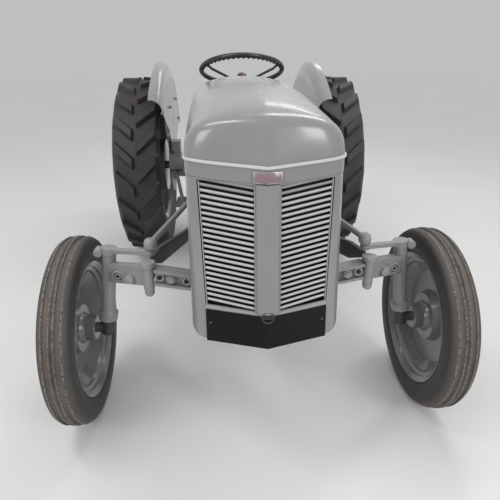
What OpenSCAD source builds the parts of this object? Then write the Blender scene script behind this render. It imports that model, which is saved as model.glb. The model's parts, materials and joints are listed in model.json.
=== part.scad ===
// Vintage farm tractor: tilting bonnet with a slatted grille, swept-back front axle with twin
// drag links, four-cylinder engine, and a three-point lift at the rear. Sizes in millimetres.
// The front looks along -Y, +X is the tractor's own left and +Z is up. The origin lies on the
// ground in the middle of the whole length and width.

/* [Stance] */
// Distance from the front axle line to the rear axle line
wheelbase = 1778; // [1740:2:1820]
// Distance between the front tyres' middle planes
front_track = 1321; // [1300:1:1345]
// Distance between the rear tyres' middle planes
rear_track = 1260; // [1256:1:1290]
// Distance from the top of each kingpin sleeve to the middle plane of its front tyre
kingpin_offset = 129.5; // [126:0.5:133]
// Height of the crankshaft and of the starting-handle hole
crank_z = 598; // [594:1:604]

/* [Front wheels] */
// Outer radius of the front tyres
front_tyre_r = 350; // [340:1:358]
// Section width of the front tyres
front_tyre_w = 106; // [98:1:112]
// Bead-seat radius of the front rims
front_rim_r = 241; // [236:1:246]
// Width of the front rims over the flanges
front_rim_w = 92; // [88:1:95]
// Radius of the stub axles
stub_r = 19; // [17:0.5:21]

/* [Rear wheels] */
// Outer radius of the rear tyres at the lugs' tips
rear_tyre_r = 590; // [580:1:600]
// Section width of the rear tyres
rear_tyre_w = 284; // [270:1:290]
// Bead-seat radius of the rear rims
rear_rim_r = 355; // [350:1:360]
// Width of the rear rims over the flanges
rear_rim_w = 236; // [226:1:244]
// Radius of the rear wheel hubs
rear_hub_r = 62; // [56:1:70]

/* [Bonnet] */
// Height of the bead line that runs round the bonnet
bead_z = 1047; // [1042:1:1050]
// Thickness of the sheet metal, as modelled
sheet = 4; // [3:0.5:5]
// Rear edge of the bonnet, behind the front axle
bonnet_rear = 845; // [836:1:847]
// Line behind which the bonnet is straight and before which its nose rounds over
nose_pivot = -190; // [-200:1:-184]
// Half width of the bonnet at its nose
nose_half_w = 229; // [226:1:232]
// Height of the band below the bead line
band_h = 51; // [48:1:54]
// Drop of the bead line towards the middle of the nose
nose_dip = 16; // [12:1:20]
// How far the bead stands out of the sheet
bead_out = 5; // [3:0.5:7]

/* [Grille] */
// Half width of the nose shell below the band
shell_half_w = 226; // [222:1:228]
// Outer radius of the shell's front corners
shell_corner_r = 48; // [42:1:54]
// Depth at which the shell's sides end, before the front axle
shell_rear = -165; // [-170:1:-160]
// Lowest point of the shell's sides
shell_bottom = 512; // [508:1:515]
// Prow of the shell at the grille's top, before the front axle
prow_top = -343; // [-346:1:-340]
// Forward lean of the prow, in millimetres for each millimetre down
prow_lean = 0.114; // [0.10:0.002:0.12]
// Sweep of each grille half back from the prow, in degrees
vee = 15; // [13:0.5:16]
// Bottom of the grille openings
grille_bottom = 622; // [618:1:630]
// Half width of the grille openings at the top
grille_half_top = 194; // [190:1:196]
// Half width of the grille openings at the bottom
grille_half_bottom = 181; // [178:1:184]
// Slats in each grille half
slat_count = 21; // [17:1:23]
// Half width of the centre bar
centre_bar_half = 32; // [30:1:34]
// Width of the number plate
plate_w = 362; // [350:2:366]
// Place of the bonnet's hinge line, before the front axle
hinge_d = -290; // [-294:1:-286]
// Height of the bonnet's hinge line
hinge_z = 520; // [516:1:526]
// Radius of the bonnet's hinge pin
hinge_pin_r = 8; // [6:0.5:10]

/* [Front axle] */
// Middle of the front beam, before the front axle line
beam_d = -110; // [-114:1:-106]
// Height of the middle of the front beam at its ends
beam_z = 614; // [611:1:616]
// Rise of the front beam towards its ends, in millimetres for each millimetre out
beam_rise = 0.19; // [0.17:0.01:0.20]
// Height of the front beam's section
beam_h = 58; // [56:1:60]
// Length of the front beam, end to end
beam_len = 716; // [712:1:718]
// Radius of the beam's pivot pin
pivot_r = 19; // [17:0.5:22]
// Radius of the kingpins
kingpin_r = 16; // [14:0.5:18]
// Lean of the kingpins, tops inward, in degrees
kingpin_lean = 7; // [5:0.5:8]
// Outer radius of the kingpin sleeves
sleeve_r = 25; // [24:0.5:28]

/* [Steering] */
// Radius of the steering wheel
steering_wheel_r = 210; // [200:1:215]
// Radius of the steering wheel's grip
grip_r = 12.5; // [11:0.5:14]
// Length of the steering drop arms between centres
drop_arm_len = 150; // [145:1:155]
// Radius of the drag link tubes
drag_link_r = 11; // [10:0.5:13]

/* [Engine] */
// Length of the engine block
engine_len = 520; // [510:1:525]
// Width of the engine block
engine_w = 230; // [220:2:240]
// Radius of the cooling fan
fan_r = 185; // [175:1:190]

/* [Three-point lift] */
// Length of the lift arms between centres
lift_arm_len = 260; // [255:1:265]
// Length of the lower links between centres, along the tractor
lower_link_len = 698; // [690:1:704]
// Radius of the implement pin holes in the lower links
link_pin_r = 11.2; // [10.5:0.1:12]

/* [Hidden] */
$fn = 48;

// Gap between a seated piece and its seat, and between a pin and its bore
seat_gap = 0.3;
// Gap between pieces that move past each other
run_gap = 6;
rear_axle_d = wheelbase;
shell_top = bead_z - band_h;
plate_out = 4;
plate_low = 499;
link_end_r = 30;
front_most_d = prow_d(plate_low) - plate_out / cos(vee);
rear_most_d = rear_axle_d + 12 + lower_link_len + link_end_r;
// Front axle line, measured from the origin
front_axle_y = -(front_most_d + rear_most_d) / 2;
front_hub_z = front_tyre_r;
rear_hub_z = rear_tyre_r;
front_wheel_x = front_track / 2;
kingpin_x = front_wheel_x - kingpin_offset;
rear_wheel_x = rear_track / 2;

// Places in the length direction are written as distances behind the front axle
function at_y(d) = front_axle_y + d;
module along(x, d, z) { translate([x, at_y(d), z]) children(); }
// Children drawn once as they are and once mirrored to the tractor's right side
module both_sides() {
    children();
    mirror([1, 0, 0]) children();
}
// Round bar between two points
module bar(a, b, r, r2 = -1) {
    v = b - a;
    len = norm(v);
    translate(a) rotate([0, acos(v[2] / len), atan2(v[1], v[0])])
        cylinder(h = len, r1 = r, r2 = r2 < 0 ? r : r2);
}
// Box from its lowest corner and its highest corner, given as [x, distance, z]
module block(a, b) {
    translate([min(a[0], b[0]), at_y(min(a[1], b[1])), min(a[2], b[2])])
        cube([abs(b[0] - a[0]), abs(b[1] - a[1]), abs(b[2] - a[2])]);
}
// Cylinder along X, and one along Y, from one end to the other
module disc_x(x1, x2, d, z, r, r2 = -1) {
    along(x1, d, z) rotate([0, 90, 0]) cylinder(h = x2 - x1, r1 = r, r2 = r2 < 0 ? r : r2);
}
module disc_y(x, d1, d2, z, r, r2 = -1) {
    along(x, d1, z) rotate([-90, 0, 0]) cylinder(h = d2 - d1, r1 = r, r2 = r2 < 0 ? r : r2);
}
// Solid of revolution about X: points are [x, radius]
module spun_x(d, z, profile) {
    along(0, d, z) rotate([0, 90, 0]) rotate_extrude() polygon([for (p = profile) [p[1], p[0]]]);
}
// Outline in the side view, points [distance, height], between two x places
module side_sheet(x1, x2, points) {
    translate([x1, 0, 0]) rotate([90, 0, 90]) linear_extrude(x2 - x1)
        polygon([for (p = points) [at_y(p[0]), p[1]]]);
}
// Outline in the front view, points [x, height], between two distances
module front_sheet(d1, d2, points) {
    translate([0, at_y(d2), 0]) rotate([90, 0, 0]) linear_extrude(d2 - d1) polygon(points);
}

// Bonnet: arched sections. Behind nose_pivot they stand upright; round the nose each one tilts
// further forward about the pivot line at the bead. Columns: distance behind the front axle,
// forward tilt, half width, height above the bead, squareness of the arch, depth of the crease
bonnet_rows = [
    [bonnet_rear, 0, nose_half_w + 29, 167, 3.0, 0.05],
    [720, 0, nose_half_w + 26, 169, 2.9, 0.05],
    [600, 0, nose_half_w + 23, 170, 2.8, 0.05],
    [450, 0, nose_half_w + 20, 168, 2.8, 0.05],
    [300, 0, nose_half_w + 16, 165, 2.8, 0.05],
    [150, 0, nose_half_w + 12, 158, 2.7, 0.06],
    [0, 0, nose_half_w + 7, 151, 2.6, 0.06],
    [-100, 0, nose_half_w + 3, 144, 2.6, 0.06],
    [nose_pivot, 0, nose_half_w, 136, 2.6, 0.06],
    [nose_pivot, 12, nose_half_w, 136, 2.6, 0.07],
    [nose_pivot, 24, nose_half_w, 141, 2.7, 0.08],
    [nose_pivot, 35, nose_half_w, 151, 2.9, 0.10],
    [nose_pivot, 45, nose_half_w, 163, 3.1, 0.14],
    [nose_pivot, 53, nose_half_w, 163, 3.5, 0.18],
    [nose_pivot, 62, nose_half_w, 158, 4.1, 0.24],
    [nose_pivot, 76, nose_half_w, 152, 5.0, 0.29],
    [nose_pivot, 90, nose_half_w, 154, 6.0, 0.33]
];
first_tilted = 8;
arch_steps = 28;
// Drop of the nose's lines at a place across it, none at its sides
function brow(x) = -nose_dip * max(0, 1 - abs(x) / nose_half_w);
function arch(row, inset) = [
    for (i = [0:arch_steps])
        let(
            c = cos(180 * i / arch_steps),
            w = row[2] - inset,
            h = row[3] - inset,
            x = w * sign(c) * pow(abs(c), 2 / row[4]),
            r = h * pow(sin(180 * i / arch_steps), 2 / row[4]) * (1 - row[5] * abs(x) / w)
        )
        [x, at_y(row[0] - r * sin(row[1])), bead_z + r * cos(row[1])
            + brow(x) * pow(row[1] / 90, 2)]
];
// Feet of the tilted sections are one shared point, so their number is that of the first one
function arch_index(row, i, inner) =
    let(foot = i == 0 || i == arch_steps, j = foot ? min(row, first_tilted) : row)
    j * 2 * (arch_steps + 1) + (inner ? arch_steps + 1 : 0) + i;
function quad(a, b, c, d) = [for (t = [[a, b, c], [a, c, d]])
    if (t[0] != t[1] && t[1] != t[2] && t[0] != t[2]) t];
function flat(lists) = [for (list = lists) each list];

module bonnet_top() {
    last = len(bonnet_rows) - 1;
    points = flat([for (row = bonnet_rows) concat(arch(row, 0), arch(row, sheet))]);
    outer = [for (j = [0:last - 1], i = [0:arch_steps - 1])
        quad(arch_index(j, i, false), arch_index(j + 1, i, false),
            arch_index(j + 1, i + 1, false), arch_index(j, i + 1, false))];
    inner = [for (j = [0:last - 1], i = [0:arch_steps - 1])
        quad(arch_index(j, i, true), arch_index(j, i + 1, true),
            arch_index(j + 1, i + 1, true), arch_index(j + 1, i, true))];
    feet = [for (j = [0:first_tilted - 1], i = [0, arch_steps])
        i == 0
            ? quad(arch_index(j, i, true), arch_index(j + 1, i, true),
                arch_index(j + 1, i, false), arch_index(j, i, false))
            : quad(arch_index(j, i, false), arch_index(j + 1, i, false),
                arch_index(j + 1, i, true), arch_index(j, i, true))];
    rims = [for (j = [0, last], i = [0:arch_steps - 1])
        j == 0
            ? quad(arch_index(j, i, true), arch_index(j, i, false),
                arch_index(j, i + 1, false), arch_index(j, i + 1, true))
            : quad(arch_index(j, i, false), arch_index(j, i, true),
                arch_index(j, i + 1, true), arch_index(j, i + 1, false))];
    color("gray") polyhedron(points, flat(concat(outer, inner, feet, rims)), convexity = 6);
}

// Plan of the bonnet at the bead line, from the left rear corner round the nose
function bonnet_plan(inset) =
    let(
        left = [for (j = [0:first_tilted - 1]) [bonnet_rows[j][2] - inset, at_y(bonnet_rows[j][0])]],
        nose = [for (p = arch(bonnet_rows[len(bonnet_rows) - 1], inset)) [p[0], p[1]]],
        right = [for (j = [first_tilted - 1:-1:0]) [-left[j][0], left[j][1]]]
    )
    concat(left, nose, right);
function ribbon(outer, inner) = concat(outer, [for (i = [len(inner) - 1:-1:0]) inner[i]]);
bead_h = 9;
// The band's section with its bead, swept round the plan: [inset, depth below the bead line]
band_section = [[-bead_out, seat_gap], [-bead_out, bead_h], [0, bead_h], [0, band_h], [sheet, band_h],
    [sheet, seat_gap]];
module bonnet_band() {
    n = len(bonnet_plan(0));
    m = len(band_section);
    plans = [for (q = band_section) bonnet_plan(q[0])];
    cap = [[0, 1, 2], [0, 2, 5], [2, 3, 4], [2, 4, 5]];
    color("darkgray") polyhedron(
        [for (k = [0:n - 1], i = [0:m - 1]) let(p = plans[i][k])
            [p[0], p[1], bead_z - band_section[i][1] + brow(p[0])]],
        concat(cap, [for (c = cap) [for (i = [2:-1:0]) (n - 1) * m + c[i]]],
            [for (k = [0:n - 2], i = [0:m - 1]) let(j = (i + 1) % m)
                each quad(k * m + i, (k + 1) * m + i, (k + 1) * m + j, k * m + j)]),
        convexity = 6);
}

// Nose shell: prow, corners and sides below the band
function prow_d(z) = prow_top - (shell_top - z) * prow_lean;
corner_steps = 6;
function shell_plan(z, inset) =
    let(
        cx = shell_half_w - shell_corner_r,
        r = shell_corner_r - inset,
        cd = prow_d(z) + (cx + shell_corner_r * sin(vee)) * tan(vee) + shell_corner_r * cos(vee),
        left = concat([[shell_half_w - inset, shell_rear]],
            [for (k = [0:corner_steps]) let(a = -k / corner_steps * (90 - vee))
                [cx + r * cos(a), cd + r * sin(a)]])
    )
    concat(left, [[0, prow_d(z) + inset / cos(vee)]],
        [for (k = [len(left) - 1:-1:0]) [-left[k][0], left[k][1]]]);
// Faces that close one end of a bent strip whose points run out along one side and back along
// the other, so that point i lies across from point n - 1 - i; first is the end's first point
function strip_end(first, n, flip) = [for (i = [0:n / 2 - 2])
    let(a = first + i, b = first + i + 1, c = first + n - 2 - i, d = first + n - 1 - i)
    each flip ? quad(a, d, c, b) : quad(a, b, c, d)];
// Solid between the same strip at two heights, the upper one with a share of the brow; each strip
// is a list of [x, distance]
module lofted(lower, z1, upper, z2, share = 0) {
    n = len(lower);
    polyhedron(
        concat([for (p = lower) [p[0], at_y(p[1]), z1]],
            [for (p = upper) let(drop = share * brow(p[0]))
                [p[0], at_y(p[1] + drop * prow_lean), z2 + drop]]),
        concat(strip_end(0, n, true), strip_end(n, n, false),
            [for (i = [0:n - 1]) each quad(i, (i + 1) % n, n + (i + 1) % n, n + i)]),
        convexity = 6);
}
module shell_wall(z1, z2, outside, inside) {
    lofted(ribbon(shell_plan(z1, outside), shell_plan(z1, inside)), z1,
        ribbon(shell_plan(z2, outside), shell_plan(z2, inside)), z2, 1);
}
// V-shaped strip along the prow, proud of the shell by out, from the middle to half width x
function vee_plan(z, x, out, back) =
    let(front = prow_d(z) - out / cos(vee), rear = prow_d(z) - back / cos(vee))
    [[x, front + x * tan(vee)], [0, front], [-x, front + x * tan(vee)],
        [-x, rear + x * tan(vee)], [0, rear], [x, rear + x * tan(vee)]];
module vee_strip(z1, x1, z2, x2, out, back, share = 0) {
    lofted(vee_plan(z1, x1, out, back), z1, vee_plan(z2, x2, out, back), z2, share);
}
window_half_in = centre_bar_half + 2;
// Height of the grille's sill, which rises outward
sill_rise = 0.07;
function sill(x) = grille_bottom - (grille_half_bottom - abs(x)) * sill_rise;
handle_hole_r = 18;
module handle_hole() { disc_y(0, prow_d(crank_z) - 30, prow_d(crank_z) + 40, crank_z, handle_hole_r); }
hinge_ear_x = 150;
hinge_ear_r = 19;
module nose_shell() {
    round_r = 46;
    prow_dip = 9;
    clip_w = shell_half_w + 2;
    color("gray") difference() {
        union() {
            intersection() {
                shell_wall(shell_bottom - 40, shell_top - seat_gap, 0, sheet);
                front_sheet(-450, 0, concat(
                    [[clip_w, shell_top + 1], [-clip_w, shell_top + 1]],
                    [for (a = [180:15:270])
                        [-clip_w + round_r + round_r * cos(a), shell_bottom + round_r + round_r * sin(a)]],
                    [[0, shell_bottom - prow_dip]],
                    [for (a = [270:15:360])
                        [clip_w - round_r + round_r * cos(a), shell_bottom + round_r + round_r * sin(a)]]));
            }
            both_sides() hinge_ear();
        }
        both_sides() front_sheet(-420, shell_rear - 60, [
            [window_half_in, sill(window_half_in)], [grille_half_bottom, grille_bottom],
            [grille_half_top, shell_top - 6 + brow(grille_half_top)],
            [window_half_in, shell_top - 6 + brow(window_half_in)]]);
        handle_hole();
    }
}
module hinge_ear() {
    difference() {
        side_sheet(hinge_ear_x, hinge_ear_x + 8, concat(
            [[prow_d(hinge_z) + hinge_ear_x * tan(vee) + 3, hinge_z - 4]],
            [for (k = [0:8]) let(a = -90 + 22.5 * k)
                [hinge_d + hinge_ear_r * cos(a), hinge_z + hinge_ear_r * sin(a)]],
            [[prow_d(hinge_z + 25) + hinge_ear_x * tan(vee) + 3, hinge_z + hinge_ear_r]]));
        disc_x(hinge_ear_x - 5, hinge_ear_x + 15, hinge_d, hinge_z, hinge_pin_r + seat_gap);
    }
}
module grille() {
    slat_t = 2.5;
    slat_h = 15;
    slat_lean = 38;
    slat_rise = 0.08;
    frame_w = 6;
    frame_depth = 16;
    behind = (sheet + seat_gap) / cos(vee) + 2.4;
    inner_x = window_half_in + 5;
    low = sill(inner_x);
    top = shell_top - 8 + brow(inner_x);
    pitch = (top - low - 8) / slat_count;
    function outer_x(z) = grille_half_bottom
        + (grille_half_top - grille_half_bottom) * (z - low) / (top - low) - 5;
    function face_d(x, z) = prow_d(z) + x * tan(vee) + behind;
    // A strip across one half of the grille, rising outward
    module across(z, rise) {
        along(inner_x, face_d(inner_x, z), z) rotate([0, 0, vee]) rotate([0, -atan(rise), 0]) children();
    }
    color("silver") both_sides() {
        for (i = [0:slat_count - 1])
            let(z = low + 6 + i * pitch)
            across(z, slat_rise) rotate([-slat_lean, 0, 0])
                cube([(outer_x(z) - inner_x + 5) / cos(vee), slat_t, slat_h]);
        for (inner = [true, false])
            hull() for (end = [0, 1])
                let(x = inner ? window_half_in + 2 : outer_x(end ? top : low) + 2,
                    z = end ? top + brow(x) - brow(inner_x) : sill(x) - 6)
                along(x, face_d(x, z), z) rotate([0, 0, vee])
                    cube([frame_w, frame_depth, 6]);
        across(low - 5.5, sill_rise) translate([0, 0.7, 0])
            cube([(grille_half_bottom - inner_x) / cos(vee), frame_depth - 2, 5]);
        across(top + 0.5, nose_dip / nose_half_w) translate([0, 0.7, 0])
            cube([(grille_half_top - inner_x) / cos(vee), frame_depth - 2, 5]);
    }
}
module centre_bar() {
    color("gray")
        vee_strip(sill(0) - 1, centre_bar_half - 2, shell_top - 1, centre_bar_half, 7, seat_gap, 1);
}
plate_top = sill(0) - 10;
module number_plate() {
    low_rise = 8;
    top_rise = 8;
    half = plate_w / 2;
    notch = acos((plate_top - crank_z) / handle_hole_r);
    color("black") intersection() {
        vee_strip(plate_low - 10, half, plate_top + 20, half, plate_out, seat_gap);
        front_sheet(-450, -280, concat(
            [[-half - 5, plate_top + top_rise], [-half - 5, plate_low + low_rise], [0, plate_low],
                [half + 5, plate_low + low_rise], [half + 5, plate_top + top_rise]],
            [for (k = [0:12]) let(a = notch + (360 - 2 * notch) * k / 12)
                [handle_hole_r * sin(a), crank_z + handle_hole_r * cos(a)]]));
    }
}

// Front axle: support casting, beam, arms with kingpin sleeves, radius arms
support_half = 95;
module front_support() {
    slab_z = 652;
    front_d = -215;
    shelf_d = -8;
    foot_d = 108;
    wall = 16;
    color("dimgray") {
        difference() {
            union() {
                block([-support_half, front_d, slab_z], [support_half, shelf_d, slab_z + 26]);
                for (d = [[front_d, -172], [-48, shelf_d]])
                    front_sheet(d[0], d[1], [[-support_half, slab_z + 1], [-58, beam_pivot_z - 46],
                        [58, beam_pivot_z - 46], [support_half, slab_z + 1]]);
                for (x = [-support_half, support_half - wall])
                    side_sheet(x, x + wall, [[front_d, slab_z + 1], [front_d, slab_z - 40],
                        [-48, slab_z - 18], [-48, 470], [block_front, 440], [block_front, 600],
                        [20, 600], [shelf_d, slab_z + 1]]);
                block([-support_half, foot_d, 440], [support_half, block_front, 720]);
            }
            disc_y(0, front_d - 5, shelf_d + 5, crank_z, handle_hole_r);
            disc_y(0, foot_d - 5, block_front + 5, crank_z, pulley_r + run_gap);
        }
        disc_y(0, front_d - 9, shelf_d + 6, beam_pivot_z, pivot_r);
        both_sides() hinge_lug();
        disc_x(-hinge_ear_x - 12, hinge_ear_x + 12, hinge_d, hinge_z, hinge_pin_r);
    }
}
module hinge_lug() {
    side_sheet(support_half - 22, support_half, [[-215, 652], [-215, 560], [hinge_d + 14, hinge_z - 14],
        [hinge_d - 14, hinge_z - 14], [hinge_d - 14, hinge_z + 14], [-235, 652]]);
}
beam_pivot_z = 528;
function beam_mid(x) = beam_z - (beam_len / 2 - x) * beam_rise;
hole_x = [341, 250];
beam_web = 16;
bolt_x = 303;
// Strip along one half of the beam between two heights over and under its middle line
module beam_strip(d1, d2, x1, low, high) {
    half = beam_len / 2;
    front_sheet(d1, d2, [[x1, beam_mid(x1) + low], [half, beam_z + low], [half, beam_z + high],
        [x1, beam_mid(x1) + high]]);
}
module axle_beam() {
    flange = 52;
    flange_t = 10;
    waist = 150;
    h = beam_h / 2;
    color("gray") difference() {
        union() {
            both_sides() {
                beam_strip(beam_d - beam_web / 2, beam_d + beam_web / 2, waist - 2, -h, h);
                for (z = [-h, h - flange_t])
                    beam_strip(beam_d - flange / 2, beam_d + flange / 2, waist - 2, z, z + flange_t);
            }
            front_sheet(beam_d - flange / 2, beam_d + flange / 2, [
                [-waist, beam_mid(waist) - h], [-60, beam_pivot_z - 42], [60, beam_pivot_z - 42],
                [waist, beam_mid(waist) - h], [waist, beam_mid(waist) + h], [60, beam_pivot_z + 42],
                [-60, beam_pivot_z + 42], [-waist, beam_mid(waist) + h]]);
            disc_y(0, beam_d - 44, beam_d + 44, beam_pivot_z, 42);
            both_sides() for (x = hole_x) disc_y(x, beam_d - 15, beam_d, beam_mid(x), 16);
        }
        disc_y(0, beam_d - 60, beam_d + 60, beam_pivot_z, pivot_r + seat_gap);
        both_sides() {
            for (x = hole_x) disc_y(x, beam_d - 40, beam_d + 8.5, beam_mid(x), 9);
            disc_y(bolt_x, beam_d - 40, beam_d + 40, beam_mid(bolt_x), 10);
        }
    }
}
arm_boss_x = 379;
arm_boss_d = beam_d - 8;
arm_boss_top = 652;
eye_stud_r = 9.7;
arm_outer_z = 584;
arm_inner_z = 618;
sleeve_top = 650;
sleeve_len = 246;
// Things on the kingpin's own line, with their origin at the top of its sleeve
module on_kingpin() {
    along(kingpin_x, 0, sleeve_top) rotate([0, -kingpin_lean, 0]) children();
}
// Where the kingpin's line is at a height
function kingpin_at(z) = kingpin_x + (sleeve_top - z) * tan(kingpin_lean);
module axle_arms() {
    color("gray") both_sides() axle_arm();
}
module axle_arm() {
    arm_t = 30;
    lap = [beam_d + beam_web / 2 + seat_gap, beam_d + 38];
    lap_end = arm_boss_x + 8;
    lap_half = 17;
    reach = [kingpin_at(arm_outer_z) - arm_boss_x, -lap[0]];
    sweep = atan2(reach[1], reach[0]);
    difference() {
        union() {
            on_kingpin() translate([0, 0, -sleeve_len]) {
                cylinder(h = sleeve_len, r = sleeve_r);
                cylinder(h = 28, r1 = sleeve_r + 9, r2 = sleeve_r + 11);
                translate([0, 0, 27]) cylinder(h = 16, r1 = sleeve_r + 9, r2 = sleeve_r - 1);
            }
            along(arm_boss_x, lap[0] + 12, 0) rotate([0, 0, sweep]) rotate([90, 0, 0])
                linear_extrude(arm_t) polygon([[-18, arm_inner_z - 38], [norm(reach) - 8, arm_outer_z - 35],
                    [norm(reach) - 8, arm_outer_z + 36], [-18, arm_inner_z + 32]]);
            front_sheet(lap[0], lap[1], [[hole_x[1], beam_mid(hole_x[1]) - lap_half],
                [lap_end, beam_mid(lap_end) - lap_half], [lap_end, beam_mid(lap_end) + lap_half],
                [hole_x[1], beam_mid(hole_x[1]) + lap_half]]);
            along(arm_boss_x, arm_boss_d, arm_boss_top - 84) cylinder(h = 84, r = 18);
            along(arm_boss_x, arm_boss_d, arm_boss_top - 111) cylinder(h = 28, r1 = 8, r2 = 15);
            along(arm_boss_x, arm_boss_d, arm_boss_top - 1) cylinder(h = 15, r = eye_stud_r);
        }
        on_kingpin() translate([0, 0, -sleeve_len - 5])
            cylinder(h = sleeve_len + 10, r = kingpin_r + seat_gap);
    }
    disc_y(bolt_x, beam_d - 30, lap[0] + 1, beam_mid(bolt_x), 9.5);
}
radius_rear = [205, 1000, 437];
radius_ball_r = 30;
module radius_arms() {
    eye_z = arm_boss_top + seat_gap;
    eye_h = 14;
    color("dimgray") both_sides() difference() {
        union() {
            along(arm_boss_x, arm_boss_d, eye_z) cylinder(h = eye_h, r = 26);
            hull() {
                along(arm_boss_x - 20, arm_boss_d + 21.5, eye_z) cube([16, 40, eye_h]);
                along(arm_boss_x - 26, 40, 590) cube([16, 20, 60]);
            }
            hull() {
                along(arm_boss_x - 26, 40, 590) cube([16, 20, 60]);
                along(radius_rear[0] - 3, radius_rear[1] - 42, radius_rear[2] - 18) cube([16, 26, 36]);
            }
            along(radius_rear[0], radius_rear[1], radius_rear[2]) sphere(r = radius_ball_r);
        }
        along(arm_boss_x, arm_boss_d, eye_z - 5) cylinder(h = eye_h + 10, r = eye_stud_r + seat_gap);
    }
}

// Engine and what hangs on it
block_front = 130;
block_rear = block_front + engine_len;
half_w = engine_w / 2;
head_z = 850;
pulley_r = 66;
module engine_block() {
    color("gray") {
        front_sheet(block_front, block_rear, [[-half_w - 14, 500], [-half_w - 14, 600],
            [-half_w, 620], [-half_w, head_z - 40], [-half_w + 14, head_z], [half_w - 14, head_z],
            [half_w, head_z - 40], [half_w, 620], [half_w + 14, 600], [half_w + 14, 500]]);
        front_sheet(block_front + 20, block_rear - 10, [[-half_w - 4, 501], [-half_w + 24, 410],
            [half_w - 24, 410], [half_w + 4, 501]]);
        disc_y(0, block_front - 48, block_front + 1, crank_z, pulley_r);
    }
}
module cylinder_head() {
    cover = 205;
    color("gray") {
        block([-half_w + 12, block_front + 6, head_z], [half_w - 12, block_rear - 24, head_z + 68]);
        front_sheet(block_front + 30, block_rear - 50, [[-76, head_z + 67], [-76, head_z + 106],
            [-52, head_z + 124], [52, head_z + 124], [76, head_z + 106], [76, head_z + 67]]);
        for (k = [0:1]) along(0, block_front + 120 + 250 * k, head_z + 123) cylinder(h = 12, r = 12);
    }
}
module manifold() {
    x = half_w - 12 + seat_gap;
    log_x = x + 52;
    port_z = head_z + 34;
    silencer = [90, 680, 350];
    silencer_len = 480;
    color("sienna") {
        for (k = [0:3]) disc_x(x, x + 46, block_front + 70 + 118 * k, port_z, 22);
        disc_y(log_x, block_front + 40, block_rear - 60, port_z - 4, 27);
        bar([log_x, at_y(540), port_z - 4], [log_x + 14, at_y(554), 520], 21);
        along(log_x + 14, 554, 520) sphere(r = 23);
        bar([log_x + 14, at_y(554), 520], [silencer[0], at_y(silencer[1] + 8), silencer[2]], 20);
        disc_y(silencer[0], silencer[1], silencer[1] + silencer_len, silencer[2], 46);
        disc_y(silencer[0], silencer[1] + silencer_len - 1, rear_axle_d + 300, silencer[2], 19);
    }
}
module dynamo() {
    color("dimgray") {
        disc_y(-half_w - 66, block_front + 20, block_front + 210, 760, 52);
        disc_y(-half_w - 66, block_front - 26, block_front - 8, 760, 44);
        disc_y(-half_w - 66, block_front - 10, block_front + 21, 760, 10);
        block([-half_w - 70, block_front + 60, 690], [-half_w - seat_gap, block_front + 150, 712]);
    }
}
fan_z = 790;
module fan() {
    blades = 4;
    middle_d = 46;
    color("firebrick") {
        disc_y(0, middle_d - 6, block_front - seat_gap, fan_z, 16);
        disc_y(0, 84, 104, fan_z, 62);
        for (k = [0:blades - 1])
            along(0, middle_d, fan_z) rotate([0, 360 / blades * k + 20, 0]) rotate([0, 0, 28])
                translate([-34, -2, 12]) cube([68, 4, fan_r - 12]);
    }
}
radiator_half = 178;
module radiator() {
    color("dimgray") {
        block([-radiator_half, -70, 678 + seat_gap], [radiator_half, -18, 722]);
        block([-radiator_half + 14, -66, 721], [radiator_half - 14, -22, 1050]);
        block([-radiator_half, -74, 1049], [radiator_half, -14, 1112]);
        along(0, -44, 1111) cylinder(h = 30, r = 26);
        for (x = [-radiator_half, radiator_half - 15]) block([x, -72, 721], [x + 15, -16, 1050]);
    }
}
module air_cleaner() {
    x = -half_w - 78;
    d = block_rear - 150;
    color("gray") {
        along(x, d, 745) cylinder(h = 190, r = 58);
        along(x, d, 934) cylinder(h = 30, r = 24);
        block([x + 18, d - 20, 780], [-half_w - seat_gap, d + 20, 804]);
    }
}
tank_half = 176;
tank_front = block_front + 30;
tank_rear = 600;
module fuel_tank() {
    base = head_z + 150;
    top = 1158;
    r = 70;
    color("gray") {
        front_sheet(tank_front, tank_rear, concat([[-tank_half, base], [tank_half, base]],
            [for (k = [0:6]) let(a = 15 * k) [tank_half - r + r * cos(a), top - r + r * sin(a)]],
            [for (k = [0:6]) let(a = 90 + 15 * k) [-tank_half + r + r * cos(a), top - r + r * sin(a)]]));
        both_sides() for (d = [tank_front + 10, tank_rear - 40])
            block([half_w - 30, d, head_z + 68 + seat_gap], [half_w - 14, d + 24, base + 1]);
    }
}

// Gearbox, rear axle and lift
gear_rear = 1420;
axle_z = rear_hub_z;
module gearbox() {
    bell_rear = 860;
    color("gray") difference() {
        union() {
            front_sheet(block_rear, block_rear + 26,
                [for (a = [0:15:345]) [175 * cos(a), 590 + 190 * sin(a)]]);
            front_sheet(block_rear + 25, bell_rear, [[-120, 430], [-150, 520], [-150, 610], [-112, 690],
                [-100, 770], [100, 770], [112, 690], [150, 610], [150, 520], [120, 430]]);
            front_sheet(bell_rear - 1, gear_rear, [[-100, 410], [-118, 450], [-118, 700], [-96, 740],
                [96, 740], [118, 700], [118, 450], [100, 410]]);
            both_sides() disc_x(117, 200, radius_rear[1], radius_rear[2], 34);
        }
        both_sides() along(radius_rear[0], radius_rear[1], radius_rear[2])
            sphere(r = radius_ball_r + seat_gap);
    }
}
trumpet_end = 478;
axle_rear = rear_axle_d + 180;
rear_shaft_r = 28;
link_front_r = 11;
lift_d = rear_axle_d + 190;
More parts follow.
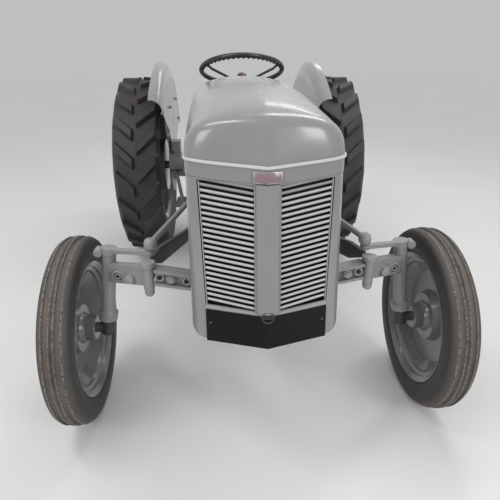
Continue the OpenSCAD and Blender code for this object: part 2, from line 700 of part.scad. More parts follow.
module rear_axle() {
    flange = trumpet_end - 40;
    drum = trumpet_end - 22;
    color("gray") {
        front_sheet(gear_rear, axle_rear, [[-110, 400], [-150, 450], [-150, 700], [-130, 760],
            [130, 760], [150, 700], [150, 450], [110, 400]]);
        both_sides() {
            spun_x(rear_axle_d, axle_z, [[149, 0], [149, 150], [175, 150], [185, 118], [300, 92],
                [flange, 82], [flange, 100], [drum, 100], [drum, 185], [drum + 14, 185], [drum + 14, 0]]);
            disc_x(drum + 13, rear_wheel_x + 40, rear_axle_d, axle_z, rear_shaft_r);
            block([400, rear_axle_d - 58, 640], [fender_x + 0.5 - seat_gap, rear_axle_d + 58, 760]);
            side_sheet(140, 158, [[link_front[1] - 50, 520], [link_front[1] - 36, 372],
                [link_front[1] + 36, 372], [link_front[1] + 50, 520]]);
            disc_x(157, link_front[0] + 22, link_front[1], link_front[2], link_front_r);
        }
    }
}
module lift_cover() {
    color("gray") difference() {
        union() {
            front_sheet(gear_rear + 90, axle_rear, [[-140, 760 + seat_gap], [-140, 790], [-90, 850],
                [90, 850], [140, 790], [140, 760 + seat_gap]]);
            disc_x(-145, 145, lift_d, lift_z, lift_housing_r);
        }
        disc_x(-146, 146, lift_d, lift_z, lift_shaft_r + seat_gap);
    }
}
lift_z = 812;
lift_shaft_r = 24;
lift_housing_r = lift_z - 760 - seat_gap;
lift_rest = 15;
lift_arm_x = 152;
module lift_arms() {
    color("gray") {
        disc_x(-lift_arm_x - 14, lift_arm_x + 14, lift_d, lift_z, lift_shaft_r);
        both_sides() {
            along(lift_arm_x, lift_d, lift_z) rotate([-lift_rest, 0, 0]) difference() {
                union() {
                    rotate([0, 90, 0]) cylinder(h = 26, r = 40);
                    translate([4, 0, -22]) cube([18, lift_arm_len, 44]);
                    translate([0, lift_arm_len, 0]) rotate([0, 90, 0]) cylinder(h = 26, r = 26);
                }
                translate([-1, lift_arm_len, 0]) rotate([0, 90, 0]) cylinder(h = 28, r = 11 + seat_gap);
            }
        }
    }
}
lift_end = [lift_d + lift_arm_len * cos(lift_rest), lift_z - lift_arm_len * sin(lift_rest)];
link_front = [185, rear_axle_d + 12, 400];
link_rear = [330, link_front[1] + lower_link_len, 370];
rod_share = 0.58;
rod_foot_out = 43;
rod_foot = link_front + rod_share * (link_rear - link_front);
module lower_link(side) {
    v = link_rear - link_front;
    splay = atan2(v[0], v[1]);
    fall = atan2(v[2], norm([v[0], v[1]]));
    color("dimgray") mirror([side < 0 ? 1 : 0, 0, 0])
        along(link_front[0], link_front[1], link_front[2]) difference() {
            union() {
                rotate([0, 0, -splay]) rotate([fall, 0, 0]) translate([-8, 0, -28]) cube([16, norm(v), 56]);
                rotate([0, 90, 0]) translate([0, 0, -16]) cylinder(h = 32, r = link_end_r);
                translate(v) rotate([0, 90, 0]) translate([0, 0, -20]) cylinder(h = 40, r = link_end_r);
            }
            rotate([0, 90, 0]) translate([0, 0, -30]) cylinder(h = 60, r = link_front_r + seat_gap);
            translate(v) rotate([0, 90, 0]) translate([0, 0, -30]) cylinder(h = 60, r = link_pin_r);
        }
}
module lift_rod(side) {
    top = [lift_arm_x + 40, at_y(lift_end[0]), lift_end[1]];
    foot = [rod_foot[0] + rod_foot_out, at_y(rod_foot[1]), rod_foot[2]];
    color("dimgray") mirror([side < 0 ? 1 : 0, 0, 0]) {
        bar(top, foot, 12);
        translate(top) rotate([0, 90, 0]) translate([0, 0, -9]) cylinder(h = 22, r = 22);
        translate(foot) rotate([0, 90, 0]) translate([0, 0, -12]) cylinder(h = 22, r = 22);
        translate(top) rotate([0, 90, 0]) translate([0, 0, -46]) cylinder(h = 40, r = 11);
    }
}
module drawbar() {
    face = axle_rear + seat_gap;
    color("dimgray") {
        difference() {
            union() {
                both_sides() block([20, face, 640], [34, face + 90, 720]);
                block([-60, face, 640], [60, face + 14, 740]);
            }
            disc_x(-60, 60, face + 68, 680, 9.6);
        }
        disc_y(0, face, face + 60, 500, 56);
        disc_y(0, face + 59, face + 150, 500, 17.5);
        block([-60, face, 545], [60, face + 14, 641]);
    }
}

// Driver's place
module dash() {
    rear = [for (p = arch(bonnet_rows[0], 10)) [p[0], p[2]]];
    color("gray") {
        front_sheet(bonnet_rear + run_gap, bonnet_rear + run_gap + 26,
            concat([[-200, 905]], [for (i = [arch_steps:-1:0]) rear[i]], [[200, 905]]));
        front_sheet(bonnet_rear + run_gap - 10, bonnet_rear + run_gap + 20, [[-96, 770 + seat_gap],
            [-110, 884], [-200, 906], [200, 906], [110, 884], [96, 770 + seat_gap]]);
        for (x = [-110, -36, 38, 112])
            disc_y(x, bonnet_rear + run_gap + 25, bonnet_rear + run_gap + 34, 1080, 28);
    }
}
column_tilt = 20;
drop_d = bonnet_rear + run_gap + 61;
wheel_centre = [0, drop_d + 137, 1236];
drop_z = 855;
drop_x = 126;
column_r = 24;
wheel_shaft_r = 12;
function column_point(s) = [0, at_y(wheel_centre[1]) - s * sin(column_tilt),
    wheel_centre[2] - s * cos(column_tilt)];
module steering_box() {
    color("gray") difference() {
        union() {
            block([-70, drop_d - 40, 740 + seat_gap], [70, drop_d + 73, 830]);
            disc_x(-drop_x + 6, drop_x - 6, drop_d, drop_z, 40);
            block([-60, drop_d - 40, 829], [60, drop_d + 38, 900]);
            bar(column_point(380), column_point(84), column_r);
        }
        bar(column_point(130), column_point(60), wheel_shaft_r + seat_gap);
    }
}
module steering_wheel() {
    spokes = 3;
    hub_low = -78;
    hub_top = -34;
    color("black") along(0, wheel_centre[1], wheel_centre[2]) rotate([-column_tilt, 0, 0]) {
        rotate_extrude() translate([steering_wheel_r, 0]) circle(r = grip_r);
        translate([0, 0, hub_low]) rotate_extrude() polygon([[0, 0], [28, 0], [28, 25], [22, 33],
            [24, 39], [17, hub_top - hub_low], [0, hub_top - hub_low + 3]]);
        translate([0, 0, -120]) cylinder(h = hub_low + 121, r = wheel_shaft_r);
        for (k = [0:spokes - 1]) rotate([0, 0, 120 * k + 90]) rotate([90, 0, 0])
            translate([0, 0, -5]) linear_extrude(10) polygon([[10, hub_low + 4],
                [steering_wheel_r - 30, -27], [steering_wheel_r - 2, -8], [steering_wheel_r - 2, 0],
                [steering_wheel_r - 31, -18], [10, hub_low + 12]]);
    }
}
module drop_arm(side) {
    color("dimgray") mirror([side < 0 ? 1 : 0, 0, 0]) {
        disc_x(drop_x - 6 + seat_gap, drop_x + 20, drop_d, drop_z, 30);
        block([drop_x, drop_d - 14, drop_z - drop_arm_len], [drop_x + 16, drop_d + 14, drop_z]);
        disc_x(drop_x, drop_x + 20, drop_d, drop_z - drop_arm_len, 22);
    }
}
ball_x = 371;
ball_d = -70;
ball_z = 713;
// Things on the ball joint's line, which leans like the kingpin, with their origin at the ball
module on_ball() {
    along(ball_x, ball_d, ball_z) rotate([0, -kingpin_lean, 0]) children();
}
module drag_link(side) {
    a = [ball_x, at_y(ball_d), ball_z];
    b = [drop_x + 48, at_y(drop_d), drop_z - drop_arm_len];
    color("gray") mirror([side < 0 ? 1 : 0, 0, 0]) difference() {
        union() {
            bar(a, b, drag_link_r);
            on_ball() rotate_extrude() polygon([[0, -20], [17, -20], [21.5, -10], [22.5, 2],
                [20, 12], [13, 18], [0, 20]]);
            translate(b) rotate([0, 90, 0]) translate([0, 0, -12]) cylinder(h = 36, r = 24);
            translate(b) rotate([0, -90, 0]) cylinder(h = 27, r = 9);
        }
        on_ball() translate([0, 0, -30]) cylinder(h = 34, r = ball_stud_r + seat_gap);
    }
}
ball_stud_r = 8;
module knuckle(side) {
    foot = (sleeve_top - front_hub_z) / cos(kingpin_lean);
    v = [ball_x - kingpin_x, ball_d];
    arm_w = 26;
    arm_rise = 20;
    color("gray") mirror([side < 0 ? 1 : 0, 0, 0]) {
        on_kingpin() {
            translate([0, 0, -foot - 24]) cylinder(h = foot + 44, r = kingpin_r);
            translate([0, 0, -foot - 24]) cylinder(h = foot + 24 - sleeve_len - 1, r = 24);
            translate([0, 0, 2]) cylinder(h = 24, r = 28);
        }
        along(kingpin_x, 0, sleeve_top) rotate([0, 0, atan2(v[1], v[0])]) rotate([90, 0, 0])
            translate([0, 0, -arm_w / 2]) linear_extrude(arm_w)
                polygon([[0, 6], [norm(v), 5 + arm_rise], [norm(v), 18 + arm_rise], [0, 20]]);
        on_ball() {
            translate([0, 0, -41]) cylinder(h = 18, r = 17);
            translate([0, 0, -24]) cylinder(h = 25, r = ball_stud_r);
        }
        disc_x(kingpin_at(front_hub_z), front_wheel_x + 52, 0, front_hub_z, stub_r);
    }
}

// Wheels
module front_wheel(side) {
    x = front_wheel_x;
    r = front_rim_r;
    h = front_rim_w / 2;
    color("gray") mirror([side < 0 ? 1 : 0, 0, 0]) spun_x(0, front_hub_z, [
        [x - h, r + 14], [x - h + 5, r + 14], [x - h + 9, r], [x - 22, r - 2], [x - 16, r - 16],
        [x + 16, r - 16], [x + 22, r - 2], [x + h - 9, r], [x + h - 5, r + 14], [x + h, r + 14],
        [x + h, r + 10], [x + h - 12, r - 7], [x + 26, r - 9], [x + 20, r - 22],
        [x + 4, r - 24], [x + 34, r - 60], [x + 40, 96], [x + 12, 84], [x + 12, 52],
        [x + 62, 48], [x + 66, 40], [x + 66, stub_r + 10], [x + 53, stub_r + 10],
        [x + 53, stub_r + seat_gap], [x - 52, stub_r + seat_gap], [x - 52, 43], [x - 47, 48],
        [x - 16, 50], [x - 8, 56], [x, 60], [x, 90], [x + 28, 102], [x + 24, r - 62],
        [x - 10, r - 26], [x - 20, r - 22], [x - 26, r - 9], [x - h + 12, r - 7], [x - h, r + 10]]);
}
// Closed solid of rings round an axle: each ring is its place along X and its points, given as
// [angle from the top towards the front, radius]. The last ring joins the first
module ringed(d, z, rings) {
    n = len(rings[0][1]);
    m = len(rings);
    along(0, d, z) polyhedron(
        [for (ring = rings, p = ring[1]) [ring[0], -p[1] * sin(p[0]), p[1] * cos(p[0])]],
        [for (k = [0:m - 1], i = [0:n - 1]) let(a = k * n, b = (k + 1) % m * n, j = (i + 1) % n)
            each quad(a + i, b + i, b + j, a + j)],
        convexity = 8);
}
front_steps = 32;
// Half of the front tyre's tread with its three ribs: [share of half the width, depth below the
// outer radius]
front_tread = [[0.16, 0], [0.32, 13], [0.5, 3], [0.84, 7]];
module front_tyre(side) {
    w = front_tyre_w / 2;
    lip = front_rim_w / 2 - 5.7;
    half = concat([for (t = front_tread) [t[0] * w, front_tyre_r - t[1]]],
        [[w, front_rim_r + 52], [lip, front_rim_r + 15], [lip - 4, front_rim_r + seat_gap]]);
    n = len(half);
    profile = concat([for (k = [n - 1:-1:0]) [-half[k][0], half[k][1]]], half);
    color([0.12, 0.12, 0.12]) mirror([side < 0 ? 1 : 0, 0, 0]) ringed(0, front_hub_z,
        [for (p = profile) [front_wheel_x + p[0],
            [for (i = [0:front_steps - 1])
                [360 * (i + 0.5) / front_steps, p[1] / cos(180 / front_steps)]]]]);
}
module rear_wheel(side) {
    x = rear_wheel_x;
    r = rear_rim_r;
    h = rear_rim_w / 2;
    color("gray") mirror([side < 0 ? 1 : 0, 0, 0]) spun_x(rear_axle_d, rear_hub_z, [
        [x - h, r + 22], [x - h + 6, r + 22], [x - h + 12, r], [x - 60, r - 4], [x - 48, r - 24],
        [x + 48, r - 24], [x + 60, r - 4], [x + h - 12, r], [x + h - 6, r + 22], [x + h, r + 22],
        [x + h, r + 16], [x + h - 16, r - 7], [x + 64, r - 11], [x + 54, r - 31], [x - 2, r - 33],
        [x - 2, r - 60], [x - 36, 215], [x - 36, 130], [x - 20, 110], [x + 40, rear_hub_r],
        [x + 60, rear_hub_r - 8], [x + 60, 0], [x + 42, 0], [x + 42, rear_shaft_r + seat_gap],
        [x - 130, rear_shaft_r + seat_gap], [x - 130, 176], [x - 60, 176], [x - 60, 215], [x - 42, 226],
        [x - 10, r - 58], [x - 10, r - 33], [x - 54, r - 31], [x - 64, r - 11],
        [x - h + 16, r - 7], [x - h, r + 16]]);
}
// Bar lugs of the rear tyre, with the places of the four edges of each one round the tyre
lug_count = 21;
lug_pitch = 360 / lug_count;
lug_edges = [0, 1.5, 6.5, 8];
lug_sweep = 10;
lug_inner = 16;
lug_outer = 120;
// One side's rings from the middle out: [place across, radius between lugs, radius on them]
function rear_rings(bore) = [
    [8, rear_tyre_r - 30, rear_tyre_r - 30], [lug_inner, rear_tyre_r - 30, rear_tyre_r],
    [lug_outer, rear_tyre_r - 40, rear_tyre_r - 8],
    [rear_tyre_w / 2, rear_rim_r + 165, rear_rim_r + 165],
    [rear_rim_w / 2 - 7, rear_rim_r + 24, rear_rim_r + 24], [rear_rim_w / 2 - 13, bore, bore]];
module rear_tyre(side) {
    top_half = (lug_edges[2] - lug_edges[1]) / 2;
    // Angle that sets the middle of a lug's inner end under the axle
    start = 180 - lug_edges[1] - top_half - lug_sweep;
    // The widest chord of the bore runs from a ring's gap to its neighbour's
    bore = (rear_rim_r + seat_gap) / cos(5.8);
    function station(i) = let(k = floor(i / 4)) k * lug_pitch + lug_edges[i - 4 * k];
    function sweep(x) = lug_sweep * max(0, min(1, (lug_outer - x) / (lug_outer - lug_inner)));
    function ring(q, left) = [left ? rear_wheel_x - q[0] : rear_wheel_x + q[0],
        [for (i = [0:4 * lug_count - 1])
            let(k = left ? i - 2 : i, m = k - 4 * floor(k / 4), high = m == 1 || m == 2)
            [start + station(k) + sweep(q[0]) + (left ? lug_pitch / 2 : 0),
                (high ? q[2] : q[1]) / (high ? cos(top_half) : 1)]]];
    half = rear_rings(bore);
    n = len(half);
    color([0.12, 0.12, 0.12]) mirror([side < 0 ? 1 : 0, 0, 0]) ringed(rear_axle_d, rear_hub_z,
        concat([for (k = [n - 1:-1:0]) ring(half[k], true)], [for (q = half) ring(q, false)]));
}

// Fenders: flat side with a crown rolled outward over the tyre's inner edge
fender_x = 442;
// Upper outline in the side view, front tip to rear: [distance, height]
fender_r = 683;
fender_reach = 110;
fender_arc = [for (a = [142:-5:22])
    let(r = fender_r + fender_reach * pow(max(0, (a - 97) / 45), 2))
    [rear_axle_d + r * cos(a), rear_hub_z + r * sin(a)]];
function normal_at(p, k) =
    let(a = p[max(k - 1, 0)], b = p[min(k + 1, len(p) - 1)], v = b - a)
    [-v[1], v[0]] / norm(v);
// Rolled edge: [x beyond the flat side, height above the outline]
crown = [[0, -90], [1, -60], [8, -32], [24, -10], [48, 2], [74, 4]];
module fender(side) {
    n = len(crown);
    ring = concat(crown, [for (k = [n - 1:-1:0]) crown[k]
        + (k < 2 ? [4, 0] : k == 2 ? [4, -2] : k == 3 ? [2, -4] : [0, -4])]);
    m = len(ring);
    last = len(fender_arc) - 1;
    color("gray") mirror([side < 0 ? 1 : 0, 0, 0]) {
        polyhedron(
            [for (k = [0:last], q = ring) let(p = fender_arc[k] + q[1] * normal_at(fender_arc, k))
                [fender_x + q[0], at_y(p[0]), p[1]]],
            concat(strip_end(0, m, false), strip_end(last * m, m, true),
                [for (k = [0:last - 1], i = [0:m - 1]) let(j = (i + 1) % m)
                    each quad(k * m + i, (k + 1) * m + i, (k + 1) * m + j, k * m + j)]),
            convexity = 6);
        side_sheet(fender_x + 0.5, fender_x + 3.5, concat(
            [for (k = [1:last - 1]) fender_arc[k] - 80 * normal_at(fender_arc, k)],
            [[2230, 830], [2060, 760], [1930, 702], [1640, 702], [1590, 780], [1480, 880],
                [1350, 930], [1250, 985]]));
    }
}
module fender_left() { fender(1); }
module fender_right() { fender(-1); }
module footrests() {
    color("dimgray") both_sides() {
        block([250, 1130, 470], [400, 1330, 478]);
        block([118 + seat_gap, 1180, 440], [255, 1210, 470]);
        block([118 + seat_gap, 1270, 440], [255, 1300, 470]);
        block([250, 1180, 440], [256, 1300, 471]);
    }
}
module pedals() {
    color("dimgray") both_sides() {
        bar([118 + seat_gap, at_y(1020), 520], [350, at_y(1020), 520], 12);
        bar([340, at_y(1020), 520], [385, at_y(1160), 690], 10);
        along(385, 1160, 690) rotate([-25, 0, 0]) translate([-35, -35, -3]) cube([70, 80, 8]);
    }
}
module gear_lever() {
    color("dimgray") {
        along(0, 1120, 740 + seat_gap) cylinder(h = 40, r1 = 50, r2 = 24);
        bar([0, at_y(1120), 775], [10, at_y(1190), 1010], 8);
        along(10, 1190, 1015) sphere(r = 20);
    }
}
seat_d = 1560;
seat_z = 960;
seat_spring_d = 180;
module seat() {
    color("gray") {
        along(0, seat_d, seat_z) {
            rotate_extrude() polygon([[0, 0], [120, 8], [200, 40], [225, 80],
                [229, 78], [205, 36], [122, 3], [0, -5]]);
            translate([0, 0, -30]) cylinder(h = 26, r = 40);
        }
        block([-30, seat_d - 20, seat_z - 42], [30, seat_d + seat_spring_d, seat_z - 29]);
        block([-30, seat_d + seat_spring_d - 12, 850 + seat_gap],
            [30, seat_d + seat_spring_d, seat_z - 30]);
    }
}
module drop_arm_left() { drop_arm(1); }
module drop_arm_right() { drop_arm(-1); }
module drag_link_left() { drag_link(1); }
module drag_link_right() { drag_link(-1); }
module knuckle_left() { knuckle(1); }
module knuckle_right() { knuckle(-1); }
module front_wheel_left() { front_wheel(1); }
module front_wheel_right() { front_wheel(-1); }
module front_tyre_left() { front_tyre(1); }
module front_tyre_right() { front_tyre(-1); }
module rear_wheel_left() { rear_wheel(1); }
module rear_wheel_right() { rear_wheel(-1); }
module rear_tyre_left() { rear_tyre(1); }
module rear_tyre_right() { rear_tyre(-1); }
module lift_rod_left() { lift_rod(1); }
module lift_rod_right() { lift_rod(-1); }
module lower_link_left() { lower_link(1); }
module lower_link_right() { lower_link(-1); }

front_support();
axle_beam();
axle_arms();
radius_arms();
radiator();
fan();
engine_block();
cylinder_head();
manifold();
dynamo();
air_cleaner();
gearbox();
rear_axle();
lift_cover();
fuel_tank();
dash();
steering_box();
fender_left();
fender_right();
footrests();
pedals();
gear_lever();
seat();
drawbar();
bonnet_top();
bonnet_band();
nose_shell();
grille();
centre_bar();
number_plate();
knuckle_left();
knuckle_right();
front_wheel_left();
front_wheel_right();
front_tyre_left();
front_tyre_right();
rear_wheel_left();
rear_wheel_right();
rear_tyre_left();
rear_tyre_right();
drop_arm_left();
drop_arm_right();
drag_link_left();
drag_link_right();
steering_wheel();
lift_arms();
lift_rod_left();
lift_rod_right();
lower_link_left();
lower_link_right();
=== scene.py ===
"""Vintage farm tractor: the finished look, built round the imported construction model.

Lengths are in metres. The front of the tractor looks along -Y, +X is its own left side and +Z is
up. Places along the tractor are often written as distances behind the front axle line.
"""

import json
import logging
import math
from contextlib import contextmanager
from dataclasses import dataclass
from enum import Enum
from typing import Callable, Iterator, Protocol, Sequence

import bpy
from mathutils import Matrix, Vector


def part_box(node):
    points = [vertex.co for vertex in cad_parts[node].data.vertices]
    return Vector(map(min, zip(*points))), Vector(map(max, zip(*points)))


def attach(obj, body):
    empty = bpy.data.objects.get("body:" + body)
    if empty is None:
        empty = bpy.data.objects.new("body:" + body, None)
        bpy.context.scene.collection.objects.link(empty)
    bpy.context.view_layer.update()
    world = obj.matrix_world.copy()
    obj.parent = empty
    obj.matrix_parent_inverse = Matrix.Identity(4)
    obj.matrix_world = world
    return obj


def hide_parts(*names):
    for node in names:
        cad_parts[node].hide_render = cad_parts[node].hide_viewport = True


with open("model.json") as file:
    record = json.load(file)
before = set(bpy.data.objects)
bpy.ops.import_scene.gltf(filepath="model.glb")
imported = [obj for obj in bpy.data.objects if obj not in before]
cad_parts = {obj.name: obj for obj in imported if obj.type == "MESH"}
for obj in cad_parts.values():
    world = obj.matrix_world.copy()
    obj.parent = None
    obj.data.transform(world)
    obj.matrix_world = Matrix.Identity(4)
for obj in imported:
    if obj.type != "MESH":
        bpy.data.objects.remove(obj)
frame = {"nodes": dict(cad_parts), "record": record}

LOG = logging.getLogger("tractor")

Object = bpy.types.Object
Material = bpy.types.Material
Socket = bpy.types.NodeSocket
Point = tuple[float, float, float]
Colour = tuple[float, float, float]
Range = tuple[float, float]
Noise = tuple[float, float, float]
Spot = tuple[Point, Point]
Profile = Sequence[tuple[float, float]]

ORIGIN: Point = (0.0, 0.0, 0.0)
UP: Point = (0.0, 0.0, 1.0)
FORWARD: Point = (0.0, -1.0, 0.0)
REARWARD: Point = (0.0, 1.0, 0.0)
MERGE_DISTANCE = 0.00002
FRONT_AXLE_Y = (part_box("front_tyre_left")[0][1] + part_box("front_tyre_left")[1][1]) / 2


def behind(distance: float) -> float:
    """Return the Y coordinate of a place that lies that far behind the front axle line."""
    return FRONT_AXLE_Y + distance


class Side(Enum):
    """The tractor's own two sides, as the sign of X."""

    LEFT = 1
    RIGHT = -1

    @property
    def word(self) -> str:
        """Return the word that ends the names of this side's nodes and bodies."""
        return self.name.lower()

    def at(self, x: float, y: float, z: float) -> Point:
        """Return this side's point for one that is given for the left side."""
        return (self.value * x, y, z)


class Bench:
    """The modelling moves that the sub-assemblies share, each made with Blender's operators."""

    @staticmethod
    def focus(*objects: Object) -> None:
        """Select these objects alone and make the first one active.

        Args:
            objects: The objects to work on.
        """
        bpy.ops.object.select_all(action="DESELECT")
        for item in objects:
            item.select_set(True)
        bpy.context.view_layer.objects.active = objects[0]

    @staticmethod
    @contextmanager
    def reopened(item: Object) -> Iterator[None]:
        """Open an object in edit mode with the selection that it has.

        Args:
            item: The object to edit.

        Returns:
            A context in which edit mode is on.
        """
        Bench.focus(item)
        bpy.ops.object.mode_set(mode="EDIT")
        try:
            yield
        finally:
            bpy.ops.object.mode_set(mode="OBJECT")

    @staticmethod
    @contextmanager
    def editing(item: Object) -> Iterator[None]:
        """Open an object in edit mode with its whole mesh selected.

        Args:
            item: The object to edit.

        Returns:
            A context in which edit mode is on.
        """
        with Bench.reopened(item):
            bpy.ops.mesh.select_all(action="SELECT")
            yield

    @staticmethod
    def take(name: str) -> Object:
        """Name the object that an operator has just made active.

        Args:
            name: The name for the object and its mesh.

        Returns:
            The object.
        """
        item = bpy.context.view_layer.objects.active
        item.name = name
        item.data.name = name
        return item

    @staticmethod
    def copied(item: Object, name: str) -> Object:
        """Copy an object together with its mesh.

        Args:
            item: The object to copy.
            name: The copy's name.

        Returns:
            The copy.
        """
        Bench.focus(item)
        bpy.ops.object.duplicate(linked=False)
        return Bench.take(name)

    @staticmethod
    def discard(item: Object) -> None:
        """Delete an object that has served as a model."""
        Bench.focus(item)
        bpy.ops.object.delete()

    @staticmethod
    def settle(item: Object, angle: float = 35.0) -> Object:
        """Move an object's place and turn into its mesh and shade it smooth up to an angle.

        Args:
            item: The object to settle.
            angle: The sharpest edge that is still shaded smooth, in degrees.

        Returns:
            The same object.
        """
        Bench.focus(item)
        bpy.ops.object.transform_apply(location=True, rotation=True, scale=True)
        bpy.ops.object.shade_smooth_by_angle(angle=math.radians(angle))
        return item

    @staticmethod
    def clear_picks(mesh: bpy.types.Mesh) -> None:
        """Take the selection off every part of a mesh."""
        for part in (mesh.vertices, mesh.edges, mesh.polygons):
            part.foreach_set("select", [False] * len(part))

    @staticmethod
    def pick_faces(item: Object, test: Callable[[bpy.types.MeshPolygon], bool]) -> None:
        """Select the faces of an object that pass a test, for the edit that follows.

        Args:
            item: The object, in object mode.
            test: Says of one face whether it is wanted.
        """
        mesh = item.data
        Bench.clear_picks(mesh)
        for face in mesh.polygons:
            if test(face):
                face.select = True
                for index in face.vertices:
                    mesh.vertices[index].select = True

    @staticmethod
    def pick_edges(item: Object, test: Callable[[Vector, Vector], bool]) -> None:
        """Select the edges of an object that pass a test, for the edit that follows.

        Args:
            item: The object, in object mode.
            test: Says of one edge's two ends whether the edge is wanted.
        """
        mesh = item.data
        Bench.clear_picks(mesh)
        for edge in mesh.edges:
            first, last = (mesh.vertices[index] for index in edge.vertices)
            if test(first.co, last.co):
                edge.select = first.select = last.select = True

    @staticmethod
    def pick_points(item: Object, test: Callable[[Vector], bool]) -> None:
        """Select the points of an object that pass a test, for the edit that follows.

        Args:
            item: The object, in object mode.
            test: Says of one point whether it is wanted.
        """
        Bench.clear_picks(item.data)
        for vertex in item.data.vertices:
            vertex.select = test(vertex.co)

    @staticmethod
    def apply(item: Object, kind: str, **settings: object) -> None:
        """Add a modifier to an object and apply it.

        Args:
            item: The object.
            kind: The modifier's type.
            settings: Values for the modifier's own properties.
        """
        Bench.focus(item)
        modifier = item.modifiers.new(kind.title(), kind)
        for key, value in settings.items():
            setattr(modifier, key, value)
        bpy.ops.object.modifier_apply(modifier=modifier.name)

    @staticmethod
    def outline(name: str, points: Sequence[Point], closed: bool = True) -> Object:
        """Draw a chain of edges by extruding one vertex from point to point.

        Args:
            name: The new object's name.
            points: The points, in order.
            closed: Whether the chain is filled with a face.

        Returns:
            The new object.
        """
        bpy.ops.object.select_all(action="DESELECT")
        bpy.ops.mesh.primitive_plane_add(size=0.01, location=ORIGIN)
        item = Bench.take(name)
        with Bench.editing(item):
            bpy.ops.mesh.merge(type="CENTER")
            bpy.ops.transform.translate(value=points[0])
            for before, after in zip(points, points[1:]):
                step = Vector(after) - Vector(before)
                bpy.ops.mesh.extrude_vertices_move(TRANSFORM_OT_translate={"value": step})
            if closed:
                bpy.ops.mesh.select_all(action="SELECT")
                bpy.ops.mesh.edge_face_add()
        return item

    @staticmethod
    def extruded(name: str, points: Sequence[Point], step: Point, rounding: float = 0.0) -> Object:
        """Draw a face and pull it out into a solid.

        Args:
            name: The new piece's name.
            points: The face's corners, in order.
            step: How far and which way the face is pulled.
            rounding: Width of the rounding on the sharp edges.

        Returns:
            The new piece.
        """
        item = Bench.outline(name, points)
        with Bench.editing(item):
            bpy.ops.mesh.extrude_region_move(TRANSFORM_OT_translate={"value": step})
            bpy.ops.mesh.select_all(action="SELECT")
            bpy.ops.mesh.normals_make_consistent(inside=False)
        if rounding:
            Bench.round_edges(item, rounding)
        return Bench.settle(item)

    @staticmethod
    def round_edges(item: Object, width: float, segments: int = 2, angle: float = 32.0) -> None:
        """Round an object's sharp edges.

        Args:
            item: The object.
            width: Width of the rounding.
            segments: Number of faces across it.
            angle: Edges sharper than this many degrees are rounded.
        """
        Bench.apply(
            item,
            "BEVEL",
            width=width,
            segments=segments,
            limit_method="ANGLE",
            angle_limit=math.radians(angle),
        )

    @staticmethod
    def aim(item: Object, place: Point, direction: Point, spin: float = 0.0) -> None:
        """Turn an object's Z axis to a direction and put its origin at a place.

        Args:
            item: The object.
            place: Where its origin goes.
            direction: Where its Z axis looks.
            spin: Turn about that axis, in degrees.
        """
        turn = Vector(direction).to_track_quat("Z", "Y").to_matrix().to_4x4()
        roll = Matrix.Rotation(math.radians(spin), 4, "Z")
        item.matrix_world = Matrix.Translation(Vector(place)) @ turn @ roll

    @staticmethod
    def turned(
        name: str,
        profile: Profile,
        steps: int,
        angle: float,
        place: Point = ORIGIN,
        direction: Point = UP,
    ) -> Object:
        """Spin a profile about an axis into a closed solid.

        Args:
            name: The new piece's name.
            profile: Points (radius, place along the axis); the last one joins the first.
            steps: Number of steps round the axis.
            angle: The sharpest edge that is still shaded smooth, in degrees.
            place: Origin of the axis.
            direction: Direction of the axis.

        Returns:
            The new piece.
        """
        points = [(radius, 0.0, along) for radius, along in profile]
        if not (profile[0][0] == 0 and profile[-1][0] == 0):
            points.append(points[0])
        item = Bench.outline(name, points, closed=False)
        with Bench.editing(item):
            bpy.ops.mesh.spin(steps=steps, angle=math.tau, center=ORIGIN, axis=UP)
            bpy.ops.mesh.select_all(action="SELECT")
            bpy.ops.mesh.remove_doubles(threshold=MERGE_DISTANCE)
            bpy.ops.mesh.normals_make_consistent(inside=False)
        Bench.aim(item, place, direction)
        return Bench.settle(item, angle)

    @staticmethod
    def joined(name: str, *items: Object) -> Object:
        """Join objects into the first one.

        Args:
            name: The joined object's name.
            items: The objects.

        Returns:
            The joined object.
        """
        Bench.focus(*items)
        if len(items) > 1:
            bpy.ops.object.join()
        return Bench.take(name)

    @staticmethod
    def repeated(name: str, model: Object, spots: Sequence[Spot], spin: float = 0.0) -> Object:
        """Copy a model to several spots, join the copies and delete the model.

        Args:
            name: The joined piece's name.
            model: The model, made at the origin looking up.
            spots: Place and direction of each copy.
            spin: Turn of each copy about its own axis, in degrees.

        Returns:
            The joined piece.
        """
        copies = []
        for place, direction in spots:
            copy = Bench.copied(model, f"{name}_copy")
            Bench.aim(copy, place, direction, spin)
            copies.append(copy)
        Bench.discard(model)
        for copy in copies:
            Bench.focus(copy)
            bpy.ops.object.transform_apply(location=True, rotation=True, scale=True)
        return Bench.settle(Bench.joined(name, *copies))

    @staticmethod
    def turned_set(
        name: str, profile: Profile, spots: Sequence[Spot], steps: int, angle: float
    ) -> Object:
        """Turn one profile and set a copy of it at each of several spots.

        Args:
            name: The joined piece's name.
            profile: Points (radius, place along the axis).
            spots: Place and direction of each copy.
            steps: Number of steps round the axis.
            angle: The sharpest edge that is still shaded smooth, in degrees.

        Returns:
            The joined piece.
        """
        return Bench.repeated(name, Bench.turned(f"{name}_one", profile, steps, angle), spots)

    @staticmethod
    def mirrored(item: Object, name: str) -> Object:
        """Copy a finished piece to the tractor's other side.

        Args:
            item: The piece.
            name: The copy's name.

        Returns:
            The copy, with its normals outward.
        """
        copy = Bench.copied(item, name)
        with Bench.editing(copy):
            bpy.ops.transform.resize(value=(-1, 1, 1), center_override=ORIGIN)
            bpy.ops.mesh.normals_make_consistent(inside=False)
        return Bench.settle(copy)

